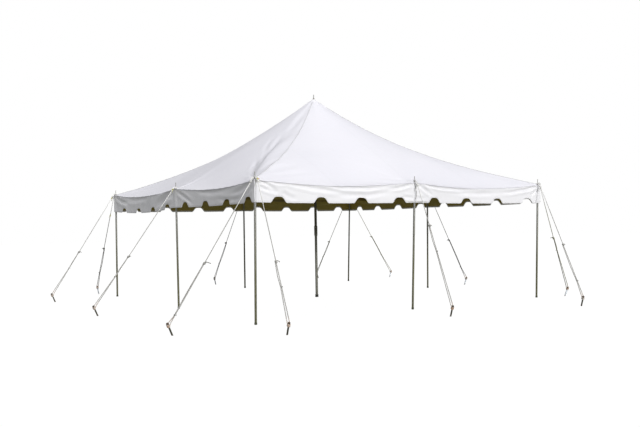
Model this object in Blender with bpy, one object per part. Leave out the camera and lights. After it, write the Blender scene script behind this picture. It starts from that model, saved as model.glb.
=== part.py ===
# Square pole marquee: a white peaked canopy on one centre pole and eight side poles,
# held out by twelve guy ropes, each tied down to a leaning steel stake.
# Units are metres. Origin: ground under the centre pole. +Z is up, the front side faces -Y.

import math

import bmesh
import bpy
from mathutils import Vector

FOOT = 0.3048

# Canopy
SIDE = 20 * FOOT
EAVE_HALF = SIDE / 2
EAVE_HEIGHT = 2.11
PEAK_HEIGHT = 3.94
CLOTH = 0.004
EAVE_SAG = 0.075
EAVE_BOW = 0.040
RIDGE_ROUNDING = 0.35
VALANCE_DROP = 0.337
VALANCE_SAG = 0.012
SCALLOPS_PER_SIDE = 8
NOTCH_HEIGHT = 0.090
NOTCH_WIDTH = 0.290
NOTCH_STEPS = 10

# Side poles, one at each corner and one at the middle of each side
PIN_INSET = 0.028
PIN_HALF = EAVE_HALF - PIN_INSET
POLE_RADIUS = 0.0175
POLE_CAP_RADIUS = 0.0205
POLE_CAP_HEIGHT = 0.035
PLUG_RADIUS = 0.013
PLUG_HEIGHT = 0.010
PIN_RADIUS = 0.0063
PIN_ABOVE_CLOTH = 0.100
POLE_SIDES = 24

# Centre pole, two tubes joined by an outside sleeve
CENTRE_RADIUS = 0.0254
CENTRE_WALL = 0.0020
CENTRE_PIN_RADIUS = 0.0080
CENTRE_PIN_ABOVE_PEAK = 0.080
SLEEVE_BOTTOM = 1.217
SLEEVE_TOP = 1.408
SLEEVE_RADIUS = 0.0325
BASE_CAP_RADIUS = 0.0320
BASE_CAP_HEIGHT = 0.050
BASE_CAP_FLOOR = 0.006
CENTRE_SIDES = 32

# Guy ropes and stakes
ROPE_RADIUS = 0.006
ROPE_DOUBLED_SHARE = 0.40
STAKE_RADIUS = 0.0125
STAKE_HEAD_RADIUS = 0.019
STAKE_LENGTH = 0.190
STAKE_LOOP_AT = 0.150
STAKE_LEAN = math.radians(24)
STAKE_SIDES = 16

# Fits
GAP = 0.0003
HOLE_CLEARANCE = 0.0022
LOOP_CLEARANCE = 0.0008

# Where the cloth's grid lines run: shares of the way from the peak to the eave
PEAK_HOLE = 0.0040
PIN_SHARE = PIN_HALF / EAVE_HALF
ROWS = (PEAK_HOLE, 0.016, 0.036, 0.08, 0.15, 0.24, 0.35, 0.47, 0.60, 0.73, 0.85, 0.94, PIN_SHARE, 1.0)
COLUMNS_PER_GORE = 16

# Each side of the tent: the way it faces, and how far its scallops are sewn to the right of even spacing
SIDES = {
    "front": (Vector((0, -1, 0)), 0.04),
    "right": (Vector((1, 0, 0)), -0.05),
    "back": (Vector((0, 1, 0)), 0.0),
    "left": (Vector((-1, 0, 0)), 0.18),
}

# Each side pole: its pin's place in shares of PIN_HALF, and how far its foot stands from under the pin
POLES = {
    "front_left": ((-1, -1), (0.0, 0.04)),
    "front_middle": ((0, -1), (-0.05, 0.05)),
    "front_right": ((1, -1), (-0.05, 0.04)),
    "right_middle": ((1, 0.026), (-0.04, 0.0)),
    "back_right": ((1, 1), (-0.08, 0.0)),
    "back_middle": ((0, 1), (0.0, 0.0)),
    "back_left": ((-1, 1), (0.0, -0.02)),
    "left_middle": ((-1, -0.048), (0.025, 0.0)),
}

# Each guy: its pole, how many loops lie under its own on the pin, and where its stake meets the ground
GUYS = {
    "front_left_a": ("front_left", 0, (-4.41, -3.23)),
    "front_left_b": ("front_left", 1, (-3.21, -4.17)),
    "front_middle": ("front_middle", 0, (-0.26, -4.10)),
    "front_right_a": ("front_right", 0, (2.36, -4.46)),
    "front_right_b": ("front_right", 1, (3.57, -3.15)),
    "right_middle": ("right_middle", 0, (4.15, 0.14)),
    "back_right_a": ("back_right", 0, (4.56, 3.39)),
    "back_right_b": ("back_right", 1, (3.02, 4.52)),
    "back_middle": ("back_middle", 0, (-0.04, 4.47)),
    "back_left_a": ("back_left", 0, (-3.13, 3.89)),
    "back_left_b": ("back_left", 1, (-4.37, 2.70)),
    "left_middle": ("left_middle", 0, (-4.47, -0.28)),
}


def clear_scene():
    for thing in list(bpy.data.objects):
        bpy.data.objects.remove(thing, do_unlink=True)


def make_material(name, colour, roughness, metallic=0.0):
    material = bpy.data.materials.new(name)
    material.use_nodes = True
    shader = material.node_tree.nodes["Principled BSDF"]
    shader.inputs["Base Color"].default_value = (*colour, 1.0)
    shader.inputs["Roughness"].default_value = roughness
    shader.inputs["Metallic"].default_value = metallic
    return material


def add_object(name, data, material):
    thing = bpy.data.objects.new(name, data)
    data.materials.append(material)
    bpy.context.scene.collection.objects.link(thing)
    return thing


def mesh_from(name, shape, smooth_angle=None):
    bmesh.ops.recalc_face_normals(shape, faces=shape.faces)
    mesh = bpy.data.meshes.new(name)
    shape.to_mesh(mesh)
    shape.free()
    if smooth_angle is not None:
        mesh.shade_smooth()
        mesh.set_sharp_from_angle(angle=math.radians(smooth_angle))
    return mesh


# The canopy's surface

def hip_fall(share):
    """Height along a hip, 1 at the peak and 0 at the eave, in the curve of a slack line."""
    return (1 - share) * (1 - 0.76 * share + 0.32 * share**2)


def middle_fall(share):
    """Height along the line from the peak to a middle pole, which is shorter and tauter."""
    return (1 - share) * (1 - 0.15 * share - 0.70 * share**8)


def side_frame(outward):
    """The direction along a side, to the right for someone who looks at it from outside."""
    return Vector((0, 0, 1)).cross(outward)


def middle_pin(side):
    """How far right of the side's middle its middle pole stands, as a share of half the side."""
    return side_frame(SIDES[side][0]).dot(Vector((*POLES[f"{side}_middle"][0], 0)))


def to_bays(across, pin):
    """A place along a side, -1 to 1 between the corners, counted so that the middle pole is at 0."""
    return (across - pin) / (1 - pin if across > pin else 1 + pin)


def from_bays(bay, pin):
    """The same, the other way round."""
    return pin + bay * (1 - pin if bay > 0 else 1 + pin)


def bay_dip(bay):
    """0 over the poles and 1 halfway between a corner pole and the middle pole."""
    return 4 * abs(bay) * (1 - abs(bay))


def hip_weight(bay):
    """How much the hip leads the cloth: 1 at a hip, 0 at the middle pole's line, rounded over that line."""
    low, high = RIDGE_ROUNDING, math.hypot(1, RIDGE_ROUNDING)
    return (math.hypot(bay, RIDGE_ROUNDING) - low) / (high - low)


def gore_height(bay, share):
    """Top of the cloth: bay runs from -1 to 1 between the hips, share from the peak to the eave."""
    part = hip_weight(bay)
    fall = middle_fall(share) * (1 - part) + hip_fall(share) * part
    return EAVE_HEIGHT + (PEAK_HEIGHT - EAVE_HEIGHT) * fall - EAVE_SAG * share**4 * bay_dip(bay)


def cloth_top(x, y):
    """Top of the cloth over a point of the ground."""
    place = Vector((x, y, 0))
    side = max(SIDES, key=lambda name: SIDES[name][0].dot(place))
    outward = SIDES[side][0]
    reach = max(outward.dot(place), 1e-9)
    bay = to_bays(side_frame(outward).dot(place) / reach, middle_pin(side))
    return gore_height(bay, min(reach / EAVE_HALF, 1.0))


def eave_bow(bay, share):
    """How far the cloth is drawn in between two poles, which is most at the eave."""
    return EAVE_BOW * bay_dip(bay) * share**6


def eave_edge(bay):
    """Height and bow of the roof's edge, which runs straight between its grid lines."""
    place = (bay + 1) / 2 * COLUMNS_PER_GORE
    column = min(int(place), COLUMNS_PER_GORE - 1)
    part = place - column
    ends = (2 * column / COLUMNS_PER_GORE - 1, 2 * (column + 1) / COLUMNS_PER_GORE - 1)
    low, high = (Vector((gore_height(end, 1.0), eave_bow(end, 1.0))) for end in ends)
    return low.lerp(high, part)


def rim_heights(x, y, radius):
    """Tops of the cloth round a circle, where there is cloth."""
    points = [
        (x + radius * math.cos(turn * math.pi / 12), y + radius * math.sin(turn * math.pi / 12))
        for turn in range(24)
    ]
    return [cloth_top(px, py) for px, py in points if max(abs(px), abs(py)) <= EAVE_HALF]


# Canopy pieces

def thicken(shape, shift):
    """Turns an open sheet into a closed solid: shift gives how far each far-side point moves."""
    made = bmesh.ops.extrude_face_region(shape, geom=shape.faces[:], use_keep_orig=True)
    for point in made["geom"]:
        if isinstance(point, bmesh.types.BMVert):
            point.co += shift(point.co)


def pin_cutter(name, x, y):
    """A guide rod that cuts the pin's grommet hole through the cloth."""
    shape = bmesh.new()
    bmesh.ops.create_cone(
        shape,
        cap_ends=True,
        segments=12,
        radius1=PIN_RADIUS + HOLE_CLEARANCE,
        radius2=PIN_RADIUS + HOLE_CLEARANCE,
        depth=0.2,
    )
    cutter = bpy.data.objects.new(name, mesh_from(name, shape))
    bpy.context.scene.collection.objects.link(cutter)
    cutter.location = (x, y, EAVE_HEIGHT)
    cutter.hide_render = True
    cutter.display_type = "WIRE"
    return cutter


def roof_gore(side, outward, cutters, material):
    """One side of the roof, from hip to hip, from the crown ring down to the eave."""
    along = side_frame(outward)
    pin = middle_pin(side)
    shape = bmesh.new()
    bmesh.ops.create_grid(shape, x_segments=COLUMNS_PER_GORE, y_segments=len(ROWS) - 1, size=1)
    for point in shape.verts:
        bay = point.co.x
        share = ROWS[round((point.co.y + 1) / 2 * (len(ROWS) - 1))]
        half_width = share * EAVE_HALF - GAP
        out = share * EAVE_HALF - eave_bow(bay, share)
        point.co = along * (from_bays(bay, pin) * half_width) + outward * out
        point.co.z = gore_height(bay, share)
    thicken(shape, lambda place: Vector((0, 0, -CLOTH)))
    gore = add_object(f"roof_{side}", mesh_from(f"roof_{side}", shape, 40), material)
    for cutter in cutters:
        cut = gore.modifiers.new(cutter.name, "BOOLEAN")
        cut.operation = "DIFFERENCE"
        cut.object = cutter
    return gore


def scallop_lift(place, shift):
    """Height of a valance's lower edge above its flats, at a place along the side."""
    pitch = SIDE / SCALLOPS_PER_SIDE
    from_notch = (place - shift + EAVE_HALF) % pitch - pitch / 2
    part = from_notch / (NOTCH_WIDTH / 2)
    return NOTCH_HEIGHT * (1 + math.cos(math.pi * part**2)) / 2 if abs(part) < 1 else 0.0


def valance_columns(shift, pin):
    """Places of a valance's grid lines: those of the roof's edge, and enough to draw each notch."""
    pitch = SIDE / SCALLOPS_PER_SIDE
    bays = [2 * line / COLUMNS_PER_GORE - 1 for line in range(COLUMNS_PER_GORE + 1)]
    places = [EAVE_HALF * from_bays(bay, pin) for bay in bays]
    for notch in range(SCALLOPS_PER_SIDE):
        first = -EAVE_HALF + (notch + 0.5) * pitch + shift - NOTCH_WIDTH / 2
        places += [first + NOTCH_WIDTH * step / NOTCH_STEPS for step in range(NOTCH_STEPS + 1)]
    return sorted({round(place, 3) for place in places})


def valance(side, outward, shift, material):
    """The scalloped skirt that hangs from one eave, mitred at both corners."""
    along = side_frame(outward)
    pin = middle_pin(side)
    columns = valance_columns(shift, pin)
    shape = bmesh.new()
    bmesh.ops.create_grid(shape, x_segments=len(columns) - 1, y_segments=2, size=1)
    for point in shape.verts:
        place = columns[round((point.co.x + 1) / 2 * (len(columns) - 1))]
        down = (1 - point.co.y) / 2
        bay = to_bays(place / EAVE_HALF, pin)
        height, bow = eave_edge(bay)
        top = height - CLOTH - GAP
        bottom = EAVE_HEIGHT - VALANCE_DROP - VALANCE_SAG * bay_dip(bay) + scallop_lift(place, shift)
        out = EAVE_HALF - bow
        point.co = along * (place / EAVE_HALF * (EAVE_HALF - GAP)) + outward * out
        point.co.z = top + (bottom - top) * down
    thicken(shape, lambda place: -outward * CLOTH - along * (place.dot(along) / EAVE_HALF * CLOTH))
    return add_object(f"valance_{side}", mesh_from(f"valance_{side}", shape, 40), material)


def crown_patch(material):
    """The doubled cloth round the peak's hole, laid over the tops of the four gores."""
    rows = ((CENTRE_PIN_RADIUS + 0.0008) / EAVE_HALF,) + ROWS[:3]
    shape = bmesh.new()
    rings = []
    for share in rows:
        ring = []
        for side, (outward, _) in SIDES.items():
            pin = middle_pin(side)
            for column in range(COLUMNS_PER_GORE):
                bay = 2 * column / COLUMNS_PER_GORE - 1
                place = (outward + side_frame(outward) * from_bays(bay, pin)) * share * EAVE_HALF
                place.z = gore_height(bay, share) + GAP
                ring.append(shape.verts.new(place))
        rings.append(ring)
    for inner, outer in zip(rings, rings[1:]):
        for turn in range(len(inner)):
            following = (turn + 1) % len(inner)
            shape.faces.new((inner[turn], outer[turn], outer[following], inner[following]))
    thicken(shape, lambda place: Vector((0, 0, CLOTH)))
    return add_object("peak_patch", mesh_from("peak_patch", shape, 30), material)


# Poles

def turned(name, profile, sides, material, closed=False):
    """A round piece from its outline, given as radius and height, turned about the vertical."""
    shape = bmesh.new()
    points = [shape.verts.new((radius, 0, height)) for radius, height in profile]
    edges = [shape.edges.new(pair) for pair in zip(points, points[1:])]
    if closed:
        edges.append(shape.edges.new((points[-1], points[0])))
    bmesh.ops.spin(
        shape,
        geom=points + edges,
        cent=(0, 0, 0),
        axis=(0, 0, 1),
        angle=math.tau,
        steps=sides,
        use_merge=True,
    )
    bmesh.ops.remove_doubles(shape, verts=shape.verts, dist=1e-6)
    return add_object(name, mesh_from(name, shape, 35), material)


def side_pole(name, x, y, foot_shift, material):
    """A steel tube with its foot cap, its top plug and the pin that passes through the eave."""
    shoulder = min(rim_heights(x, y, PLUG_RADIUS)) - CLOTH - GAP
    tip = cloth_top(x, y) + PIN_ABOVE_CLOTH
    profile = (
        (0, 0),
        (POLE_CAP_RADIUS, 0),
        (POLE_CAP_RADIUS, POLE_CAP_HEIGHT - 0.004),
        (POLE_RADIUS, POLE_CAP_HEIGHT),
        (POLE_RADIUS, shoulder - PLUG_HEIGHT),
        (PLUG_RADIUS, shoulder),
        (PIN_RADIUS, shoulder),
        (PIN_RADIUS, tip - 0.006),
        (PIN_RADIUS * 0.5, tip),
        (0, tip),
    )
    pole = turned(name, profile, POLE_SIDES, material)
    pole.location = (x, y, 0)
    for point in pole.data.vertices:
        below = max(0.0, 1 - point.co.z / shoulder)
        point.co.x += foot_shift[0] * below
        point.co.y += foot_shift[1] * below
    return pole


def tube_profile(outer, inner, bottom, top):
    return ((outer, bottom), (outer, top), (inner, top), (inner, bottom))


def centre_pole(steel, rubber):
    """The tall pole in five pieces: base cap, lower tube, sleeve, upper tube and peak pin."""
    bore = CENTRE_RADIUS - CENTRE_WALL
    meet = (SLEEVE_BOTTOM + SLEEVE_TOP) / 2
    shoulder = min(rim_heights(0, 0, CENTRE_RADIUS)) - CLOTH - GAP
    flange = 0.010
    spigot = 0.040
    tip = PEAK_HEIGHT + CENTRE_PIN_ABOVE_PEAK
    cup = CENTRE_RADIUS + GAP
    turned(
        "centre_pole_foot",
        (
            (0, 0),
            (BASE_CAP_RADIUS, 0),
            (BASE_CAP_RADIUS, BASE_CAP_HEIGHT),
            (cup, BASE_CAP_HEIGHT),
            (cup, BASE_CAP_FLOOR),
            (0, BASE_CAP_FLOOR),
        ),
        CENTRE_SIDES,
        rubber,
    )
    turned(
        "centre_pole_lower",
        tube_profile(CENTRE_RADIUS, bore, BASE_CAP_FLOOR + GAP, meet),
        CENTRE_SIDES,
        steel,
        closed=True,
    )
    turned(
        "centre_pole_sleeve",
        tube_profile(SLEEVE_RADIUS, CENTRE_RADIUS + GAP, SLEEVE_BOTTOM, SLEEVE_TOP),
        CENTRE_SIDES,
        steel,
        closed=True,
    )
    turned(
        "centre_pole_upper",
        tube_profile(CENTRE_RADIUS, bore, meet + GAP, shoulder - flange - GAP),
        CENTRE_SIDES,
        steel,
        closed=True,
    )
    turned(
        "centre_pole_pin",
        (
            (0, shoulder - flange - spigot),
            (bore - GAP, shoulder - flange - spigot),
            (bore - GAP, shoulder - flange),
            (CENTRE_RADIUS, shoulder - flange),
            (CENTRE_RADIUS, shoulder),
            (CENTRE_PIN_RADIUS, shoulder),
            (CENTRE_PIN_RADIUS, tip - 0.008),
            (CENTRE_PIN_RADIUS * 0.5, tip),
            (0, tip),
        ),
        CENTRE_SIDES,
        steel,
    )


# Guys and stakes

def stake_axis(pin, ground):
    """The way that a stake leans: its head away from the pole that it holds."""
    outward = Vector((ground.x - pin.x, ground.y - pin.y, 0)).normalized()
    return outward * math.sin(STAKE_LEAN) + Vector((0, 0, math.cos(STAKE_LEAN)))


def stake(name, pin, ground, material):
    """A round bar with a forged head, cut level where it enters the ground."""
    axis = stake_axis(pin, ground)
    rings = (
        (0.0, STAKE_RADIUS),
        (STAKE_LENGTH - 0.024, STAKE_RADIUS),
        (STAKE_LENGTH - 0.018, STAKE_HEAD_RADIUS),
        (STAKE_LENGTH - 0.005, STAKE_HEAD_RADIUS),
        (STAKE_LENGTH, STAKE_HEAD_RADIUS * 0.72),
    )
    shape = bmesh.new()
    turn = Vector((0, 0, 1)).rotation_difference(axis)
    loops = []
    for distance, radius in rings:
        made = bmesh.ops.create_circle(shape, cap_ends=False, segments=STAKE_SIDES, radius=radius)
        for point in made["verts"]:
            point.co = ground + axis * distance + turn @ point.co
            if distance == 0:
                point.co -= axis * (point.co.z / axis.z)
        loops.append(made["verts"])
    for lower, upper in zip(loops, loops[1:]):
        around = {edge for point in lower + upper for edge in point.link_edges}
        bmesh.ops.bridge_loops(shape, edges=[e for e in around if len(e.link_faces) < 2])
    for end in (loops[0], loops[-1]):
        shape.faces.new(end)
    return add_object(name, mesh_from(name, shape, 35), material)


def loop_height(x, y, loops_below):
    """Middle height of a rope's loop on the pin, on the cloth or on the loops below it."""
    reach = PIN_RADIUS + 2 * ROPE_RADIUS + LOOP_CLEARANCE
    on_cloth = max(rim_heights(x, y, reach)) + ROPE_RADIUS + LOOP_CLEARANCE
    return on_cloth + loops_below * (2 * ROPE_RADIUS + LOOP_CLEARANCE)


def guy_route(x, y, loops_below, ground):
    """Rope line: round the pin, over the eave, down, round the stake and back up beside itself."""
    pin = Vector((x, y, loop_height(x, y, loops_below)))
    out = Vector((ground.x - x, ground.y - y, 0)).normalized()
    side = Vector((0, 0, 1)).cross(out)
    turn = PIN_RADIUS + ROPE_RADIUS + LOOP_CLEARANCE + 0.0004
    route = []
    for step in range(10):
        angle = math.radians(-270 + 30 * step)
        route.append(pin + side * (turn * math.cos(angle)) + out * (turn * math.sin(angle)))
    over_eave = PIN_INSET + ROPE_RADIUS + 0.012
    route.append(pin + side * turn + out * (over_eave * 0.7) + Vector((0, 0, -0.002)))
    top = pin + side * turn + out * over_eave + Vector((0, 0, -0.010))
    route.append(top)

    axis = stake_axis(pin, ground)
    held = ground + axis * STAKE_LOOP_AT
    radius = STAKE_RADIUS + ROPE_RADIUS + LOOP_CLEARANCE
    pull = (top - held).normalized()
    long_radius = radius / math.sqrt(1 - axis.dot(pull) ** 2)
    for step in range(9):
        angle = math.radians(22.5 * step)
        route.append(held + side * (radius * math.cos(angle)) - pull * (long_radius * math.sin(angle)))
    foot = held + side * radius
    beside = foot + (top - foot) * ROPE_DOUBLED_SHARE
    route.append(beside - side * (2 * ROPE_RADIUS + LOOP_CLEARANCE))
    return route


def guy(name, route, material):
    line = bpy.data.curves.new(name, "CURVE")
    line.dimensions = "3D"
    line.bevel_depth = ROPE_RADIUS
    line.bevel_resolution = 2
    line.use_fill_caps = True
    run = line.splines.new("POLY")
    run.points.add(len(route) - 1)
    for point, place in zip(run.points, route):
        point.co = (*place, 1.0)
    return add_object(name, line, material)


def build():
    clear_scene()
    vinyl = make_material("white_vinyl", (0.86, 0.86, 0.89), 0.45)
    steel = make_material("galvanised_steel", (0.42, 0.43, 0.40), 0.40, 0.85)
    rubber = make_material("black_rubber", (0.03, 0.03, 0.03), 0.70)
    rope = make_material("white_rope", (0.80, 0.79, 0.75), 0.80)
    iron = make_material("stake_steel", (0.12, 0.12, 0.11), 0.55, 0.70)

    cutters = {}
    for place, ((east, north), foot_shift) in POLES.items():
        cutters[place] = pin_cutter(f"cut_{place}", east * PIN_HALF, north * PIN_HALF)
        side_pole(f"pole_{place}", east * PIN_HALF, north * PIN_HALF, foot_shift, steel)
    for side, (outward, shift) in SIDES.items():
        near = [place for place, (spot, _) in POLES.items() if outward.dot(Vector((*spot, 0))) > 0.5]
        roof_gore(side, outward, [cutters[place] for place in near], vinyl)
        valance(side, outward, shift, vinyl)
    crown_patch(vinyl)
    centre_pole(steel, rubber)

    for place, (pole, loops_below, spot) in GUYS.items():
        x, y = (share * PIN_HALF for share in POLES[pole][0])
        ground = Vector((*spot, 0))
        guy(f"guy_{place}", guy_route(x, y, loops_below, ground), rope)
        stake(f"stake_{place}", Vector((x, y, 0)), ground, iron)


build()
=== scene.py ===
# Looks of the square pole marquee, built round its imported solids.
# Metres, +Z up, the front side faces -Y, origin on the ground under the centre pole.

import math

import bmesh
import bpy
from mathutils import Matrix, Vector, noise


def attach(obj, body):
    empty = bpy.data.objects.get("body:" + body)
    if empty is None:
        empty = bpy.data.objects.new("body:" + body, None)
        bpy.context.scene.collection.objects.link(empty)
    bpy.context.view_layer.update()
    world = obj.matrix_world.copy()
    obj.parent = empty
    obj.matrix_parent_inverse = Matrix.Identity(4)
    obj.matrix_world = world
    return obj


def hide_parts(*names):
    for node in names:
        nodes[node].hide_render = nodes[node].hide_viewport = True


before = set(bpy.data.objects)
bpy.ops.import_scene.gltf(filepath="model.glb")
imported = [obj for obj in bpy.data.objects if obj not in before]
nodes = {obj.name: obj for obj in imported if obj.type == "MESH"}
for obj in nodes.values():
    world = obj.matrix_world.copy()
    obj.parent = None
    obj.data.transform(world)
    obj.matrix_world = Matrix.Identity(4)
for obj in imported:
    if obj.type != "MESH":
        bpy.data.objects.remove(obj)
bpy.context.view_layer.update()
scene = bpy.context.scene
print("frame:", len(nodes), "nodes")

# The tent's own sizes, as the solids have them
tent = {
    "eaveHalf": 3.048,  # from the middle to the sewn edge of the roof
    "eaveHeight": 2.11,
    "peakHeight": 3.94,
    "ridgeRounding": 0.35,
    "eaveSag": 0.075,  # how far the edge dips between two poles
    "eaveBow": 0.040,  # and how far it is drawn in there
    "pinHalf": 3.02,
    "pinRadius": 0.0063,
    "tubeRadius": 0.0175,
    "centreRadius": 0.0254,
    "sleeveRadius": 0.0325,
    "sleeveBottom": 1.217,
    "sleeveTop": 1.408,
}

# Each side pole's pin, in shares of pinHalf
pins = {
    "front_left": (-1, -1),
    "front_middle": (0, -1),
    "front_right": (1, -1),
    "right_middle": (1, 0.026),
    "back_right": (1, 1),
    "back_middle": (0, 1),
    "back_left": (-1, 1),
    "left_middle": (-1, -0.048),
}

# Each side: the way it faces and how far its scallops are sewn to the right of even spacing
sides = {
    "front": (Vector((0, -1, 0)), 0.04),
    "right": (Vector((1, 0, 0)), -0.05),
    "back": (Vector((0, 1, 0)), 0.0),
    "left": (Vector((-1, 0, 0)), 0.18),
}
up = Vector((0, 0, 1))
alongs = {side: up.cross(outward) for side, (outward, _) in sides.items()}
pinShares = {side: along.dot(Vector((*pins[side + "_middle"], 0))) for side, along in alongs.items()}


def addNode(tree, kind, sockets=None, **settings):
    node = tree.nodes.new("ShaderNode" + kind)
    for name, value in settings.items():
        setattr(node, name, value)
    for name, value in (sockets or {}).items():
        socket = node.inputs[name]
        if isinstance(value, bpy.types.NodeSocket):
            tree.links.new(value, socket)
        else:
            socket.default_value = value
    return node


def mixColours(tree, share, first, second, blend="MIX"):
    node = tree.nodes.new("ShaderNodeMix")
    node.data_type = "RGBA"
    node.blend_type = blend
    for socket, value in ((node.inputs[0], share), (node.inputs[6], first), (node.inputs[7], second)):
        if isinstance(value, bpy.types.NodeSocket):
            tree.links.new(value, socket)
        else:
            socket.default_value = (*value, 1.0) if isinstance(value, tuple) else value
    return node.outputs[2]


def calculate(tree, operation, first, second=0.0, third=0.0):
    node = tree.nodes.new("ShaderNodeMath")
    node.operation = operation
    for socket, value in zip(node.inputs, (first, second, third)):
        if isinstance(value, bpy.types.NodeSocket):
            tree.links.new(value, socket)
        else:
            socket.default_value = value
    return node.outputs[0]


def ramp(tree, value, low, high, toLow=0.0, toHigh=1.0):
    node = addNode(tree, "MapRange", {"Value": value, "From Min": low, "From Max": high})
    node.inputs["To Min"].default_value = toLow
    node.inputs["To Max"].default_value = toHigh
    return node.outputs["Result"]


def newGroup(name, inputs, outputs):
    group = bpy.data.node_groups.new(name, "ShaderNodeTree")
    for label, value in inputs.items():
        group.interface.new_socket(label, in_out="INPUT", socket_type="NodeSocketFloat").default_value = value
    for label in outputs:
        group.interface.new_socket(label, in_out="OUTPUT", socket_type="NodeSocketFloat")
    return group, group.nodes.new("NodeGroupInput").outputs, group.nodes.new("NodeGroupOutput").inputs


def placeGroup(tree, group, **values):
    node = tree.nodes.new("ShaderNodeGroup")
    node.node_tree = group
    for label, value in values.items():
        node.inputs[label].default_value = value
    return node.outputs


def objectPlace(tree):
    return addNode(tree, "TexCoord").outputs["Object"]


def objectHeight(tree):
    return addNode(tree, "SeparateXYZ", {"Vector": objectPlace(tree)}).outputs["Z"]


def mottleGroup():
    # soft clouds and finer specks, 0 to 1
    group, given, made = newGroup("mottle", {"Scale": 2.0, "Fine": 9.0}, ("Clouds", "Specks"))
    place = objectPlace(group)
    clouds = addNode(group, "TexNoise", {"Vector": place, "Scale": given["Scale"], "Detail": 4.0})
    fine = calculate(group, "MULTIPLY", given["Scale"], given["Fine"])
    specks = addNode(group, "TexNoise", {"Vector": place, "Scale": fine, "Detail": 6.0, "Roughness": 0.65})
    group.links.new(ramp(group, clouds.outputs["Fac"], 0.32, 0.68), made["Clouds"])
    group.links.new(ramp(group, specks.outputs["Fac"], 0.35, 0.70), made["Specks"])
    return group


def weaveGroup():
    # the woven scrim that shows through coated cloth; Size is the width of one thread
    group, given, made = newGroup("weave", {"Size": 0.0009}, ("Height",))
    scale = calculate(group, "DIVIDE", math.tau / 2, given["Size"])
    parts = addNode(group, "SeparateXYZ", {"Vector": objectPlace(group)}).outputs
    waves = [calculate(group, "SINE", calculate(group, "MULTIPLY", part, scale)) for part in parts]
    pair = calculate(group, "ADD", waves[0], waves[1])
    group.links.new(ramp(group, calculate(group, "ADD", pair, waves[2]), -3.0, 3.0), made["Height"])
    return group


def stitchGroup():
    # two rows of dashes along a strip's own map, and the twill of a woven strap between them
    group, given, made = newGroup("stitch", {"Pitch": 0.010, "Row": 0.72, "Twill": 0.003}, ("Thread", "Twill"))
    strip = addNode(group, "UVMap", uv_map="strip").outputs["UV"]
    parts = addNode(group, "SeparateXYZ", {"Vector": strip}).outputs
    across = calculate(group, "ABSOLUTE", parts["Y"])
    offRow = calculate(group, "ABSOLUTE", calculate(group, "SUBTRACT", across, given["Row"]))
    onRow = ramp(group, offRow, 0.10, 0.05)
    dash = calculate(group, "FRACT", calculate(group, "DIVIDE", parts["X"], given["Pitch"]))
    onDash = ramp(group, calculate(group, "ABSOLUTE", calculate(group, "SUBTRACT", dash, 0.5)), 0.34, 0.28)
    group.links.new(calculate(group, "MULTIPLY", onRow, onDash), made["Thread"])
    slant = calculate(group, "MULTIPLY_ADD", across, 0.012, parts["X"])
    twill = calculate(group, "SINE", calculate(group, "DIVIDE", slant, given["Twill"]))
    group.links.new(ramp(group, twill, -1.0, 1.0), made["Twill"])
    return group


mottle = mottleGroup()
weave = weaveGroup()
stitch = stitchGroup()


def newMaterial(name, colour, roughness, metallic=0.0):
    material = bpy.data.materials.new(name)
    material.use_nodes = True
    material.diffuse_color = (*colour, 1.0)
    shader = material.node_tree.nodes["Principled BSDF"]
    shader.inputs["Base Color"].default_value = (*colour, 1.0)
    shader.inputs["Roughness"].default_value = roughness
    shader.inputs["Metallic"].default_value = metallic
    return material, material.node_tree, shader.inputs


def addBump(tree, sockets, height, strength, distance):
    bump = addNode(tree, "Bump", {"Height": height, "Strength": strength, "Distance": distance})
    tree.links.new(bump.outputs["Normal"], sockets["Normal"])


clothLook = {
    "outer": (0.765, 0.755, 0.800),
    "outerShade": (0.735, 0.727, 0.775),
    # painted light: the valance is given a brighter white than the roof, though both are one white vinyl, to make up
    # for the light its upright faces miss; its hem and joins take the same white
    "valance": (0.915, 0.905, 0.925),
    "valanceShade": (0.880, 0.872, 0.895),
    "patch": (0.80, 0.795, 0.83),
    "dust": (0.66, 0.64, 0.58),
    # painted shade: the inside faces are dark olive-brown, with a greener second tone, standing in for the shade
    # under the roof and green light bounced up into it; the inside webbing and its thread below are toned the same
    # way
    "inner": (0.400, 0.300, 0.065),
    "innerGreen": (0.290, 0.255, 0.060),
    "innerDust": (0.20, 0.16, 0.06),
    "innerSeam": (0.230, 0.190, 0.055),
    "glow": (0.018, 0.015, 0.003),  # painted glow: a faint emission that stands in for daylight coming through the cloth
    "threadWidth": 0.0009,
    "stitch": (0.50, 0.50, 0.51),
    "panelStitch": (0.62, 0.62, 0.64),
    "innerStitch": (0.13, 0.11, 0.06),
    # painted shade: the welts' grey draws the dark line that shade makes along the hips
    "welt": (0.58, 0.58, 0.59),
    "soil": (0.46, 0.45, 0.42),
    "soilAt": (0.02, -3.05, 1.80),  # where the hem is handled most
    "soilReach": 0.36,
}


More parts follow.
